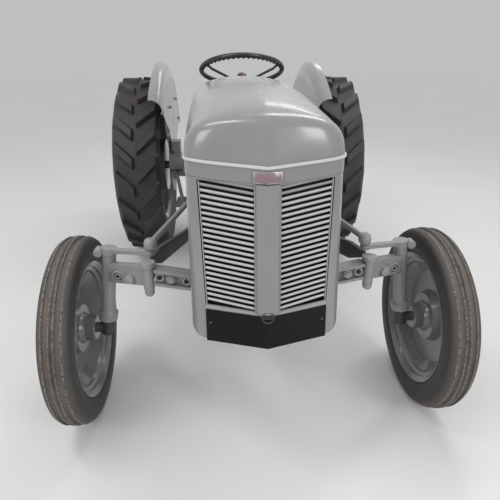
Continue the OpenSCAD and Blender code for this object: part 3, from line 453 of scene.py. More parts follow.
    @staticmethod
    def cast(node: str, name: str) -> Object:
        """Copy a construction node, merge its loose triangles to quads and crease its edges.

        Args:
            node: The construction node.
            name: The new piece's name.

        Returns:
            The new piece.
        """
        item = Bench.copied(frame["nodes"][node], name)
        item.parent = None
        with Bench.editing(item):
            bpy.ops.mesh.customdata_custom_splitnormals_clear()
            bpy.ops.mesh.remove_doubles(threshold=MERGE_DISTANCE)
            bpy.ops.mesh.tris_convert_to_quads(
                face_threshold=math.radians(40), shape_threshold=math.radians(60)
            )
            bpy.ops.mesh.select_all(action="DESELECT")
            bpy.ops.mesh.edges_select_sharp(sharpness=math.radians(50))
            bpy.ops.transform.edge_crease(value=1.0)
        return Bench.settle(item, 30)

    @staticmethod
    def fit(item: Object, body: str, material: Material, slot: str, *nodes: str) -> Object:
        """Give a piece its finish and its body, and say which nodes it stands for.

        Args:
            item: The piece.
            body: The body that it rides on.
            material: Its finish.
            slot: The record's material slot; not used.
            nodes: Construction nodes that it replaces.

        Returns:
            The same piece.
        """
        item.data.materials.clear()
        item.data.materials.append(material)
        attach(item, body)
        if nodes:
            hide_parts(*nodes)
        return item

    @staticmethod
    def recoat(
        item: Object, material: Material, test: Callable[[bpy.types.MeshPolygon], bool]
    ) -> None:
        """Give some faces of a piece a second finish.

        Args:
            item: The piece, which has one finish.
            material: The second finish.
            test: Says of one face whether it gets the second finish.
        """
        item.data.materials.append(material)
        Bench.pick_faces(item, test)
        with Bench.reopened(item):
            item.active_material_index = 1
            bpy.ops.object.material_slot_assign()


@dataclass(frozen=True)
class BoltHead:
    """A hexagon head on a washer; shares are parts of the head's height or width."""

    across: float
    height: float
    washer_share: float = 0.18
    washer_reach: float = 0.72
    washer_sides: int = 20
    rounding_share: float = 0.12
    sunk: float = 0.0002

    def post(self, name: str, sides: int, radius: float, height: float, middle: float) -> Object:
        """Add an upright post at the origin, the start of a head or a washer.

        Args:
            name: The new object's name.
            sides: Number of its sides.
            radius: Its radius over the corners.
            height: Its height.
            middle: Height of its middle.

        Returns:
            The post.
        """
        bpy.ops.object.select_all(action="DESELECT")
        bpy.ops.mesh.primitive_cylinder_add(
            vertices=sides, radius=radius, depth=height, location=(0, 0, middle)
        )
        item = Bench.take(name)
        bpy.ops.object.transform_apply(location=True)
        return item

    def build(self, name: str) -> Object:
        """Make the head at the origin, looking up.

        Args:
            name: The new object's name.

        Returns:
            The head and its washer in one object.
        """
        thin = self.washer_share * self.height
        radius = self.across / math.sqrt(3)
        middle = thin + self.height / 2 - self.sunk
        head = self.post(name, 6, radius, self.height, middle)
        top = thin + self.height - 2 * self.sunk
        Bench.pick_faces(head, lambda face: face.center.z > top)
        with Bench.reopened(head):
            bpy.ops.mesh.bevel(offset=self.rounding_share * self.across, segments=2)
        reach = self.washer_reach * self.across
        washer = self.post(f"{name}_washer", self.washer_sides, reach, thin, thin / 2)
        Bench.round_edges(washer, 0.3 * thin, 1)
        return Bench.joined(name, head, washer)

    def at_spots(self, name: str, spots: Sequence[Spot], spin: float = 0.0) -> Object:
        """Return one piece with a head at each spot."""
        return Bench.repeated(name, self.build(f"{name}_one"), spots, spin)


@dataclass(frozen=True)
class NodeCopy:
    """A copy of a construction node, with rounded edges, that stands for the node."""

    node: str
    name: str
    body: str
    slot: str
    smooth: float
    rounding: float = 0.0
    segments: int = 2
    sharp: float = 32.0

    def build(self, material: Material, shape: Callable[[Object], None] | None = None) -> Object:
        """Make the copy and dress it.

        Args:
            material: Its finish.
            shape: Changes the copy's mesh before its edges are rounded.

        Returns:
            The finished piece.
        """
        piece = Bench.cast(self.node, self.name)
        if shape:
            shape(piece)
        if self.rounding:
            Bench.round_edges(piece, self.rounding, self.segments, self.sharp)
        Bench.settle(piece, self.smooth)
        return Bench.fit(piece, self.body, material, self.slot, self.node)


def bolt_circle(side: Side, centre: Point, radius: float, count: int, first: float) -> list[Spot]:
    """Lay out bolts on a circle about a wheel's axle.

    Args:
        side: The side of the tractor that the bolts look out to.
        centre: The circle's centre.
        radius: The circle's radius.
        count: Number of bolts.
        first: Place of the first bolt, in steps from one bolt to the next.

    Returns:
        Place and direction of each bolt.
    """
    x, y, z = centre
    angles = [math.tau * (k + first) / count for k in range(count)]
    return [
        ((x, y + radius * math.cos(a), z + radius * math.sin(a)), (side.value, 0.0, 0.0))
        for a in angles
    ]


class Tree:
    """A node tree while it is being wired."""

    def __init__(self, tree: bpy.types.NodeTree) -> None:
        """Empty the tree."""
        self.tree = tree
        self.tree.nodes.clear()

    def add(self, kind: str, **settings: object) -> bpy.types.Node:
        """Add a node and set its properties.

        Args:
            kind: The node's type.
            settings: Values for the node's own properties.

        Returns:
            The new node.
        """
        node = self.tree.nodes.new(kind)
        for key, value in settings.items():
            setattr(node, key, value)
        return node

    def link(self, source: Socket, target: Socket) -> None:
        """Join two sockets."""
        self.tree.links.new(source, target)


class Graph(Tree):
    """A material's node tree, with its shader, its output and the object's coordinates."""

    def __init__(self, name: str) -> None:
        """Start a material.

        Args:
            name: The material's name.
        """
        self.material = bpy.data.materials.new(name)
        self.material.use_nodes = True
        super().__init__(self.material.node_tree)
        self.shader = self.add("ShaderNodeBsdfPrincipled")
        output = self.add("ShaderNodeOutputMaterial")
        self.link(self.shader.outputs["BSDF"], output.inputs["Surface"])
        self.coordinates = self.add("ShaderNodeTexCoord").outputs["Object"]

    def noise(self, kind: Noise) -> Socket:
        """Add noise over the object.

        Args:
            kind: Features in a metre, number of finer layers and how strong these are.

        Returns:
            The noise value, from 0 to 1.
        """
        noise = self.add("ShaderNodeTexNoise")
        for key, value in zip(("Scale", "Detail", "Roughness"), kind):
            noise.inputs[key].default_value = value
        self.link(self.coordinates, noise.inputs["Vector"])
        return noise.outputs["Fac"]

    def spread(self, value: Socket, low: float, high: float, out: Range = (0, 1)) -> Socket:
        """Stretch a range of values over another, clamped at its ends.

        Args:
            value: The value to stretch.
            low: The value that becomes the first end.
            high: The value that becomes the second end.
            out: The two ends.

        Returns:
            The stretched value.
        """
        node = self.add("ShaderNodeMapRange")
        keys = ("From Min", "From Max", "To Min", "To Max")
        for key, end in zip(keys, (low, high, *out)):
            node.inputs[key].default_value = end
        self.link(value, node.inputs["Value"])
        return node.outputs["Result"]

    def patches(self, kind: Noise, low: float, high: float, out: Range = (0, 1)) -> Socket:
        """Return noise whose values from low to high are stretched into patches."""
        return self.spread(self.noise(kind), low, high, out)

    def between(self, value: Socket, rise: Range, fall: Range) -> Socket:
        """Return 1 where a value lies past its rise and short of its fall, and 0 outside."""
        return self.times(self.spread(value, *rise), self.spread(value, *fall))

    def math(self, operation: str, first: Socket, second: Socket | float = 0.0) -> Socket:
        """Combine two values, or change one.

        Args:
            operation: The Math node's operation.
            first: The first value.
            second: The second value, as a socket or a number.

        Returns:
            The result.
        """
        node = self.add("ShaderNodeMath", operation=operation)
        self.link(first, node.inputs[0])
        if isinstance(second, Socket):
            self.link(second, node.inputs[1])
        else:
            node.inputs[1].default_value = second
        return node.outputs["Value"]

    def times(self, first: Socket, second: Socket | float) -> Socket:
        """Multiply two values."""
        return self.math("MULTIPLY", first, second)

    def vector(self, operation: str, first: Socket, second: Point) -> Socket:
        """Combine a vector with a fixed one.

        Args:
            operation: The Vector Math node's operation.
            first: The vector.
            second: The fixed vector.

        Returns:
            The resulting vector.
        """
        node = self.add("ShaderNodeVectorMath", operation=operation)
        self.link(first, node.inputs[0])
        node.inputs[1].default_value = second
        return node.outputs["Vector"]

    def mix(self, factor: Socket, first: Colour | Socket, second: Colour | Socket) -> Socket:
        """Mix two colours.

        Args:
            factor: 0 gives the first colour and 1 the second.
            first: A colour, as numbers or a socket.
            second: A colour, as numbers or a socket.

        Returns:
            The mixed colour.
        """
        node = self.add("ShaderNodeMix", data_type="RGBA")
        self.link(factor, node.inputs["Factor"])
        for socket, colour in ((node.inputs[6], first), (node.inputs[7], second)):
            if isinstance(colour, Socket):
                self.link(colour, socket)
            else:
                socket.default_value = (*colour, 1.0)
        return node.outputs[2]

    def split(self, value: Socket, axis: str) -> Socket:
        """Take one coordinate of a vector.

        Args:
            value: The vector.
            axis: X, Y or Z.

        Returns:
            The coordinate.
        """
        node = self.add("ShaderNodeSeparateXYZ")
        self.link(value, node.inputs["Vector"])
        return node.outputs[axis]

    def facing_up(self) -> Socket:
        """Return how far the surface looks up, from -1 to 1."""
        return self.split(self.add("ShaderNodeNewGeometry").outputs["Normal"], "Z")

    def bump(self, kind: Noise, depth: float, strength: float) -> None:
        """Raise the surface by noise.

        Args:
            kind: The noise.
            depth: The relief in metres.
            strength: How much of the relief shows.
        """
        node = self.add("ShaderNodeBump")
        node.inputs["Strength"].default_value = strength
        node.inputs["Distance"].default_value = depth
        self.link(self.noise(kind), node.inputs["Height"])
        self.link(node.outputs["Normal"], self.shader.inputs["Normal"])

    def colour(self, value: Socket) -> None:
        """Drive the base colour."""
        self.link(value, self.shader.inputs["Base Color"])

    def roughness(self, value: Socket) -> None:
        """Drive the roughness."""
        self.link(value, self.shader.inputs["Roughness"])

    def preset(self, socket: str, value: float) -> None:
        """Set one of the shader's own sockets to a number."""
        self.shader.inputs[socket].default_value = value


@dataclass(frozen=True)
class Enamel:
    """Sprayed enamel on sheet metal or castings, with a little dust on what looks up."""

    name: str
    paint: Colour
    gloss: float = 0.30
    grain: float = 0.00012
    grain_scale: float = 260.0
    dust: float = 0.25
    dust_colour: Colour = (0.30, 0.28, 0.25)
    coat: float = 0.3
    coat_roughness: float = 0.18
    shine: float = 0.5
    shades: Range = (0.92, 1.07)
    drift: Noise = (2.3, 5.0, 0.55)
    settling: Noise = (17.0, 8.0, 0.65)
    wiping: Noise = (6.0, 6.0, 0.6)

    def build(self) -> Material:
        """Wire the material.

        Returns:
            The material.
        """
        graph = Graph(self.name)
        darker, lighter = (
            tuple(min(1.0, shade * channel) for channel in self.paint) for shade in self.shades
        )
        body = graph.mix(graph.patches(self.drift, 0.35, 0.65), darker, lighter)
        settled = graph.times(
            graph.spread(graph.facing_up(), 0.1, 1.0, (0.0, self.dust)),
            graph.patches(self.settling, 0.35, 0.7),
        )
        graph.colour(graph.mix(settled, body, self.dust_colour))
        wiped = graph.patches(self.wiping, 0.3, 0.7, (self.gloss - 0.05, self.gloss + 0.08))
        graph.roughness(graph.math("ADD", wiped, graph.times(settled, 0.9)))
        graph.bump((self.grain_scale, 3.0, 0.55), self.grain, 0.6)
        graph.preset("Coat Weight", self.coat)
        graph.preset("Coat Roughness", self.coat_roughness)
        graph.preset("Specular IOR Level", self.shine)
        return graph.material


@dataclass(frozen=True)
class Rubber:
    """Tyre rubber with road dust in patches and fine specks."""

    name: str
    black: Colour = (0.027, 0.0258, 0.0248)
    dust_colour: Colour = (0.125, 0.095, 0.072)
    dust: float = 0.38
    settling: Noise = (7.0, 8.0, 0.7)
    specks: Noise = (90.0, 4.0, 0.7)
    grain: Noise = (320.0, 4.0, 0.7)

    def build(self) -> Material:
        """Wire the material.

        Returns:
            The material.
        """
        graph = Graph(self.name)
        patches = graph.patches(self.settling, 0.42, 0.72)
        specks = graph.patches(self.specks, 0.35, 0.7, (0.4, 1.0))
        dusty = graph.times(graph.times(patches, specks), self.dust)
        graph.colour(graph.mix(dusty, self.black, self.dust_colour))
        graph.roughness(graph.spread(dusty, 0.0, 0.5, (0.52, 0.85)))
        graph.bump(self.grain, 0.0004, 0.5)
        return graph.material


@dataclass(frozen=True)
class RibbedRubber:
    """Front tyre rubber: brown dust between the ribs and worn pale edges on them.

    The ribs' ranges are distances from the tyre's middle plane over which they start and end.
    """

    name: str
    black: Colour = (0.025, 0.0235, 0.023)
    brown: Colour = (0.170, 0.141, 0.117)
    worn: Colour = (0.30, 0.29, 0.285)
    axle_z: float = 0.350
    track: float = 1.321
    tread_start: Range = (0.322, 0.332)
    shoulder: Range = (0.0345, 0.0390)
    middle_rib: Range = (0.0104, 0.0096)
    side_rib: tuple[Range, Range] = ((0.0270, 0.0278), (0.0375, 0.0350))
    middle_edge: tuple[Range, Range] = ((0.0030, 0.0080), (0.0102, 0.0094))
    side_edge: tuple[Range, Range] = ((0.0277, 0.0283), (0.0360, 0.0310))
    settling: Noise = (5.0, 8.0, 0.65)
    rubbing: Noise = (24.0, 6.0, 0.7)
    chafing: Noise = (130.0, 8.0, 0.8)
    grain: Noise = (240.0, 5.0, 0.7)

    def radius(self, graph: Graph) -> Socket:
        """Measure how far a place is from the front axle line.

        Args:
            graph: The material that is being wired.

        Returns:
            The distance.
        """
        offset = graph.vector("SUBTRACT", graph.coordinates, (0, FRONT_AXLE_Y, self.axle_z))
        length = graph.add("ShaderNodeVectorMath", operation="LENGTH")
        graph.link(graph.vector("MULTIPLY", offset, (0, 1, 1)), length.inputs[0])
        return length.outputs["Value"]

    def build(self) -> Material:
        """Wire the material.

        Returns:
            The material.
        """
        graph = Graph(self.name)
        x = graph.math("ABSOLUTE", graph.split(graph.coordinates, "X"))
        across = graph.math("ABSOLUTE", graph.math("SUBTRACT", x, self.track / 2))
        ribs = graph.math(
            "MAXIMUM",
            graph.spread(across, *self.middle_rib),
            graph.between(across, *self.side_rib),
        )
        bare = graph.times(ribs, graph.patches(self.rubbing, 0.3, 0.6, (0.65, 1.0)))
        tread = graph.times(
            graph.spread(self.radius(graph), *self.tread_start),
            graph.spread(across, *self.shoulder, (1.0, 0.28)),
        )
        patches = graph.patches(self.settling, 0.30, 0.62, (0.55, 1.0))
        dusty = graph.times(graph.times(tread, patches), graph.spread(bare, 0, 1, (1, 0)))
        body = graph.mix(dusty, self.black, self.brown)
        near = graph.math(
            "MAXIMUM",
            graph.between(across, *self.middle_edge),
            graph.between(across, *self.side_edge),
        )
        edge = graph.times(near, graph.patches(self.chafing, 0.43, 0.60))
        graph.colour(graph.mix(graph.times(edge, 0.85), body, self.worn))
        graph.roughness(graph.spread(dusty, 0.0, 1.0, (0.5, 0.85)))
        graph.bump(self.grain, 0.0006, 0.6)
        return graph.material


@dataclass(frozen=True)
class BareMetal:
    """Worn bright metal, such as the badge's rim and the dials' bezels."""

    name: str
    steel: Colour = (0.42, 0.41, 0.39)
    stain: Colour = (0.16, 0.12, 0.09)
    gloss: float = 0.34
    tarnish: Noise = (60.0, 8.0, 0.7)
    grain: Noise = (420.0, 3.0, 0.55)

    def build(self) -> Material:
        """Wire the material.

        Returns:
            The material.
        """
        graph = Graph(self.name)
        tarnish = graph.patches(self.tarnish, 0.45, 0.75)
        graph.colour(graph.mix(tarnish, self.steel, self.stain))
        graph.roughness(graph.spread(tarnish, 0, 1, (self.gloss, 0.7)))
        graph.bump(self.grain, 0.0001, 0.5)
        graph.preset("Metallic", 0.85)
        return graph.material


@dataclass(frozen=True)
class Rust:
    """Exhaust iron, burnt to a matt brown."""

    name: str
    brown: Colour = (0.115, 0.060, 0.038)
    ash: Colour = (0.20, 0.17, 0.15)
    burning: Noise = (22.0, 8.0, 0.7)
    grain: Noise = (230.0, 6.0, 0.7)

    def build(self) -> Material:
        """Wire the material.

        Returns:
            The material.
        """
        graph = Graph(self.name)
        patches = graph.patches(self.burning, 0.38, 0.68)
        graph.colour(graph.mix(patches, self.brown, self.ash))
        graph.roughness(graph.spread(patches, 0, 1, (0.72, 0.9)))
        graph.bump(self.grain, 0.0006, 0.6)
        return graph.material


class Finishes:
    """Every finish of the tractor, built once and named by what it covers."""

    def __init__(self) -> None:
        """Build the materials."""
        cast = {"grain": 0.0007, "grain_scale": 150.0}
        self.sheet = Enamel(
            "sheet_enamel", (0.228, 0.223, 0.230), gloss=0.20, coat=0.6
        ).build()
        self.casting = Enamel(
            "casting_enamel", (0.283, 0.278, 0.284), gloss=0.40, coat=0.1, **cast
        ).build()
        # paler than the body enamel so the slat lips show bright: painted highlight
        self.slats = Enamel(
            "slat_painted_highlight_enamel", (0.46, 0.45, 0.45), gloss=0.34, coat=0.15, dust=0.1
        ).build()
        # darker than the casting enamel, standing in for the wheels' shade: painted shade
        self.wheel = Enamel(
            "wheel_enamel_with_painted_shade", (0.135, 0.135, 0.138), gloss=0.20, coat=0.6
        ).build()
        self.dark = Enamel(
            "dark_ironwork", (0.045, 0.045, 0.046), gloss=0.50, coat=0.0, **cast
        ).build()
        self.black = Enamel(
            "black_enamel", (0.006, 0.006, 0.006), gloss=0.30, dust=0.06, coat=0.4
        ).build()
        self.tyre = Rubber("tyre_rubber").build()
        self.tyre_front = RibbedRubber("ribbed_rubber").build()
        self.bright = BareMetal("bright_metal").build()
        self.badge = Enamel(
            "badge_enamel", (0.22, 0.145, 0.165), gloss=0.25, dust=0.1, coat=0.5
        ).build()
        self.cap = Enamel(
            "cap_enamel", (0.085, 0.028, 0.020), gloss=0.30, dust=0.1, coat=0.5
        ).build()
        # near-black: painted shade, for the sheet behind the slats and the floors of the arms'
        # recesses
        self.pitch = Enamel(
            "painted_shade_black", (0.0012, 0.0012, 0.0012), gloss=0.9, dust=0.0, coat=0.0
        ).build()
        self.frames = Enamel("frame_enamel", (0.30, 0.30, 0.30), gloss=0.36, coat=0.1).build()
        # a paler copy of the sheet enamel: painted highlight along the bead
        self.bead = Enamel("bead_painted_highlight", (0.56, 0.56, 0.57), gloss=0.22, coat=0.5).build()
        self.plate = Enamel(
            "plate_black", (0.003, 0.003, 0.003), gloss=0.45, dust=0.03, coat=0.0, shine=0.22
        ).build()
        self.dial = Enamel(
            "dial_white", (0.55, 0.54, 0.50), gloss=0.3, dust=0.0, coat=0.2
        ).build()
        self.rust = Rust("exhaust_rust").build()

    def coat_all(self) -> None:
        """Give every construction node its finish, by its slot and then by its name."""
        by_slot = {
            "enamel": self.casting,
            "dark_iron": self.dark,
            # nodes in the light slot take the slats' paler finish, which is a painted highlight
            "light_enamel": self.slats,
            "black_enamel": self.black,
            "rusty_iron": self.rust,
            "tyre": self.tyre,
            "black_grip": self.black,
        }
        for part in frame["record"]["subparts"]:
            self.coat_node(part["node"], by_slot[part["material_slot"]])
        for node in ("bonnet_top", "bonnet_band", "nose_shell", "centre_bar"):
            self.coat_node(node, self.sheet)
        for side in Side:
            self.coat_node(f"fender_{side.word}", self.sheet)
            # the wheels take the darker wheel enamel: painted shade
            self.coat_node(f"front_wheel_{side.word}", self.wheel)
            self.coat_node(f"rear_wheel_{side.word}", self.wheel)

    def coat_node(self, node: str, material: Material) -> None:
        """Give a construction node a finish.

        Args:
            node: The node's name.
            material: The finish for its whole surface.
        """
        mesh = frame["nodes"][node].data
        mesh.materials.clear()
        mesh.materials.append(material)


@dataclass(frozen=True)
class Lamp:
    """A soft rectangular lamp that looks at the middle of the tractor."""

    name: str
    place: Point
    size: tuple[float, float]
    power: float
    target: Point = (0.0, -0.4, 0.6)

    def hang(self) -> None:
        """Add the lamp to the scene."""
        data = bpy.data.lights.new(self.name, "AREA")
        data.shape = "RECTANGLE"
        data.size, data.size_y = self.size
        data.energy = self.power
        lamp = bpy.data.objects.new(self.name, data)
        bpy.context.scene.collection.objects.link(lamp)
        lamp.location = self.place
        aim = Vector(self.target) - Vector(self.place)
        lamp.rotation_euler = aim.to_track_quat("-Z", "Y").to_euler()


@dataclass(frozen=True)
class Stage:
    """A plain pale floor, soft studio lamps and the camera at the photograph's viewing angle."""

    camera_place: Point = (-0.12824, -1.54948, 1.29685)
    yaw: float = 3.746
    pitch: float = -22.592
    roll: float = -0.107
    lens: float = 33.312
    sensor: float = 36.0
    floor_half: float = 40.0
    floor_z: float = -0.0005
    floor_paints: tuple[Colour, Colour] = ((0.75, 0.74, 0.725), (0.77, 0.765, 0.75))
    floor_drift: Noise = (0.8, 4.0, 0.55)
    floor_roughness: float = 0.75
    seen_air: Colour = (0.522, 0.522, 0.522)
    lit_air: Colour = (0.97, 0.98, 1.0)
    lit_strength: float = 0.68
    lamps: tuple[Lamp, ...] = (
        Lamp("ceiling_lamp", (1.1, 0.2, 3.6), (0.5, 2.6), 30.0),
        Lamp("second_ceiling_lamp", (-1.5, -1.7, 3.9), (2.4, 0.35), 30.0),
        Lamp("left_lamp", (3.0, -4.4, 2.3), (1.6, 1.6), 56.0),
        Lamp("right_lamp", (-3.6, -3.6, 2.6), (1.8, 1.8), 46.0),
        Lamp("rear_lamp", (1.6, 4.2, 3.6), (2.0, 0.35), 12.0),
    )

    def build_camera(self) -> None:
        """Set up the camera from the place and turn that the photograph gives."""
        yaw, pitch, roll = (math.radians(a) for a in (self.yaw, self.pitch, self.roll))
        ahead = Vector(
            (math.sin(yaw) * math.cos(pitch), math.cos(yaw) * math.cos(pitch), math.sin(pitch))
        )
        right = Vector((math.cos(yaw), -math.sin(yaw), 0))
        up = right.cross(ahead)
        rolled_right = right * math.cos(roll) + up * math.sin(roll)
        rolled_up = up * math.cos(roll) - right * math.sin(roll)
        data = bpy.data.cameras.new("photo_camera")
        data.sensor_width = self.sensor
        data.lens = self.lens
        camera = bpy.data.objects.new("photo_camera", data)
        bpy.context.scene.collection.objects.link(camera)
        x, distance, z = self.camera_place
        turn = Matrix((rolled_right, rolled_up, -ahead)).transposed().to_4x4()
        camera.matrix_world = Matrix.Translation((x, behind(distance), z)) @ turn
        bpy.context.scene.camera = camera

    def build_floor(self) -> None:
        """Lay the painted floor."""
        bpy.ops.object.select_all(action="DESELECT")
        bpy.ops.mesh.primitive_plane_add(size=2 * self.floor_half, location=(0, 0, self.floor_z))
        floor = Bench.settle(Bench.take("studio_floor"))
        graph = Graph("floor_paint")
        graph.colour(graph.mix(graph.patches(self.floor_drift, 0.3, 0.7), *self.floor_paints))
        graph.preset("Roughness", self.floor_roughness)
        floor.data.materials.append(graph.material)

    def build_air(self) -> None:
        """Light the world, and show the camera a grey that meets the far floor."""
        world = bpy.data.worlds.new("studio_air")
        bpy.context.scene.world = world
        world.use_nodes = True
        air = Tree(world.node_tree)
        lit, seen = air.add("ShaderNodeBackground"), air.add("ShaderNodeBackground")
        lit.inputs["Color"].default_value = (*self.lit_air, 1)
        lit.inputs["Strength"].default_value = self.lit_strength
        seen.inputs["Color"].default_value = (*self.seen_air, 1)
        path = air.add("ShaderNodeLightPath")
        shown = air.add("ShaderNodeMath", operation="ADD", use_clamp=True)
        air.link(path.outputs["Is Camera Ray"], shown.inputs[0])
        air.link(path.outputs["Is Transmission Ray"], shown.inputs[1])
        mix = air.add("ShaderNodeMixShader")
        air.link(shown.outputs[0], mix.inputs["Fac"])
        air.link(lit.outputs[0], mix.inputs[1])
        air.link(seen.outputs[0], mix.inputs[2])
        air.link(mix.outputs[0], air.add("ShaderNodeOutputWorld").inputs["Surface"])

    def build(self) -> None:
        """Build the whole stage."""
        self.build_camera()
        self.build_floor()
        self.build_air()
        for lamp in self.lamps:
            lamp.hang()
        bpy.context.scene.view_settings.view_transform = "Standard"


class Builder(Protocol):
    """A sub-assembly of the tractor."""

    def build(self, finishes: Finishes) -> None:
        """Build and dress its pieces."""


@dataclass(frozen=True)
class Bonnet:
    """The hood with its rounded nose, the bead band and the shell round the grille."""

    levels: int = 2
    middle: float = 0.0005
    crest_rear: float = 0.45
    crest_crease: float = 1.0
    ridge: float = 0.002
    ridge_front: float = -0.22
    ridge_half: float = 0.15
    bead_h: float = 0.0088
    nose_dip: float = 0.016
    nose_half: float = 0.229

    def raise_ridge(self, skin: Object) -> None:
        """Lift the hood's middle line and let the lift run out to both sides.

        Args:
            skin: The hood's skin.
        """
        nose = behind(self.ridge_front)
        Bench.pick_points(skin, lambda spot: abs(spot.x) < self.middle and spot.y > nose)
        with Bench.reopened(skin):
            bpy.ops.transform.translate(
                value=(0, 0, self.ridge),
                use_proportional_edit=True,
                proportional_edit_falloff="LINEAR",
                proportional_size=self.ridge_half,
            )

    def crease_crest(self, skin: Object) -> None:
        """Keep the front of the hood's middle line crisp.

        Args:
            skin: The hood's skin.
        """
        rear = behind(self.crest_rear)
        Bench.pick_edges(
            skin, lambda *ends: all(abs(end.x) < self.middle and end.y < rear for end in ends)
        )
        with Bench.reopened(skin):
            bpy.ops.transform.edge_crease(value=self.crest_crease)

    def on_bead(self, face: bpy.types.MeshPolygon, band_top: float) -> bool:
        """Say whether a face of the band belongs to its bead, which gets the painted highlight.

        Args:
            face: The face.
            band_top: Height of the band's top.

        Returns:
            Whether it lies on the bead, which dips towards the middle of the nose.
        """
        dip = self.nose_dip * max(0.0, 1 - abs(face.center.x) / self.nose_half)
        return face.center.z > band_top - self.bead_h - dip

    def build(self, finishes: Finishes) -> None:
        """Build the bonnet's skins.

        Args:
            finishes: The tractor's finishes.
        """
        skin = Bench.cast("bonnet_top", "bonnet_skin")
        self.raise_ridge(skin)
        self.crease_crest(skin)
        Bench.apply(skin, "SUBSURF", levels=self.levels, render_levels=self.levels)
        Bench.fit(Bench.settle(skin, 40), "bonnet", finishes.sheet, "enamel", "bonnet_top")
        band = NodeCopy("bonnet_band", "bead_band", "bonnet", "enamel", 35, 0.0018, 3)
        band_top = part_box("bonnet_band")[1][2]
        # the bead's faces take the paler bead finish: a painted highlight along the bead
        Bench.recoat(
            band.build(finishes.sheet), finishes.bead, lambda face: self.on_bead(face, band_top)
        )
        NodeCopy("nose_shell", "grille_shell", "bonnet", "enamel", 25).build(finishes.sheet)


@dataclass(frozen=True)
class Prow:
    """The V-shaped front plane that the grille, bar, plate and badge follow."""

    top: float = -0.343
    top_z: float = 0.996
    lean: float = 0.114
    vee: float = 15.0

    def at(self, x: float, z: float, out: float = 0.0) -> Point:
        """Return the point of the prow at a place across it and a height.

        Args:
            x: Place across the tractor.
            z: Height.
            out: Distance in front of the surface.

        Returns:
            The point.
        """
        tilt = math.radians(self.vee)
        depth = self.top - (self.top_z - z) * self.lean + abs(x) * math.tan(tilt)
        return (x, behind(depth - out / math.cos(tilt)), z)

    def outward(self, side: Side) -> Point:
        """Return the direction that one half of the prow looks in."""
        tilt = math.radians(self.vee)
        return side.at(math.sin(tilt), -math.cos(tilt), 0.0)


@dataclass(frozen=True)
class Strip:
    """A flat strip on one half of the prow, its corners given as places across and heights."""

    name: str
    corners: Profile
    out: float
    deep: float
    rounding: float = 0.0006

    def build(self, prow: Prow) -> Object:
        """Return the strip."""
        face = [prow.at(x, z, self.out) for x, z in self.corners]
        return Bench.extruded(self.name, face, (0, self.deep, 0), self.rounding)


@dataclass(frozen=True)
class Grille:
    """The two slat panels in their frames, the sill under them and painted shade behind them.

    The slats' section is given as distances behind the prow and heights.
    """

    prow: Prow
    light_slats: int = 21
    # the top slats take the darker casting enamel: painted shadow under the band
    top_slats: int = 2
    inner_x: float = 0.0385
    outer_low: float = 0.1745
    outer_high: float = 0.1860
    first_z: float = 0.6185
    pitch: float = 0.01594
    rise: float = 0.138
    section: Profile = (
        (0.0030, -0.0022), (0.0014, -0.0010), (0.0006, 0.0008), (0.0006, 0.0026),
        (0.0014, 0.0042), (0.0030, 0.0052), (0.0046, 0.0053), (0.0046, 0.0043),
        (0.0032, 0.0040), (0.0024, 0.0026), (0.0026, 0.0008), (0.0042, -0.0006),
        (0.0140, -0.0064), (0.0145, -0.0074), (0.0056, -0.0032),
    )
    strips: tuple[Strip, ...] = (
        Strip(
            "inner_strip",
            ((0.0343, 0.6125), (0.0375, 0.6125), (0.0375, 0.9760), (0.0343, 0.9760)),
            -0.0002,
            0.012,
        ),
        Strip(
            "outer_strip",
            ((0.1755, 0.6225), (0.1787, 0.6225), (0.1905, 0.9850), (0.1873, 0.9850)),
            -0.0002,
            0.012,
        ),
        Strip(
            "sill_strip",
            ((0.0310, 0.6015), (0.1805, 0.6095), (0.1805, 0.6205), (0.0310, 0.6100)),
            0.0022,
            0.004,
        ),
    )
    shade: Profile = ((0.030, 0.604), (0.204, 0.604), (0.204, 0.990), (0.030, 0.990))
    shade_back: float = 0.019

    def slat(self, index: int) -> Object:
        """Make one slat of the left panel.

        Args:
            index: Its number, counted from below.

        Returns:
            The slat.
        """
        share = index / self.light_slats
        z = self.first_z + index * self.pitch
        outer = self.outer_low + (self.outer_high - self.outer_low) * share
        first = [self.prow.at(self.inner_x, z + up, -back) for back, up in self.section]
        far = Vector(self.prow.at(outer, z + self.rise * (outer - self.inner_x)))
        near = Vector(self.prow.at(self.inner_x, z))
        return Bench.extruded(f"slat_{index}", first, tuple(far - near))

    def build_panels(self, finishes: Finishes) -> None:
        """Build the slats and their frames on the left and mirror them.

        Args:
            finishes: The tractor's finishes.
        """
        slats = [self.slat(k) for k in range(self.light_slats + self.top_slats)]
        light, dark = slats[: self.light_slats], slats[self.light_slats :]
        strips = [strip.build(self.prow) for strip in self.strips]
        for name, members, finish, slot, nodes in (
            # the slats' paler enamel is a painted highlight on their lips
            ("grille_slats", light, finishes.slats, "light_enamel", ("grille",)),
            # the top slats' darker finish is painted shadow of the band
            ("grille_shadowed_top_slats", dark, finishes.casting, "enamel", ()),
            ("grille_frames", strips, finishes.frames, "light_enamel", ()),
        ):
            left = Bench.settle(Bench.joined(f"{name}_left", *members), 50)
            right = Bench.mirrored(left, f"{name}_right")
            both = Bench.settle(Bench.joined(name, left, right), 50)
            Bench.fit(both, "bonnet", finish, slot, *nodes)

    def build(self, finishes: Finishes) -> None:
        """Build the grille.

        Args:
            finishes: The tractor's finishes.
        """
        self.build_panels(finishes)
        # a near-black sheet behind the slats: painted shade in the grille's depth
        shades = []
        for side in Side:
            corners = tuple((side.value * x, z) for x, z in self.shade)
            strip = Strip(f"shade_{side.word}", corners, -self.shade_back, 0.0015, 0.0004)
            shades.append(strip.build(self.prow))
        both = Bench.joined("grille_shade", *shades)
        Bench.fit(both, "bonnet", finishes.pitch, "black_enamel")


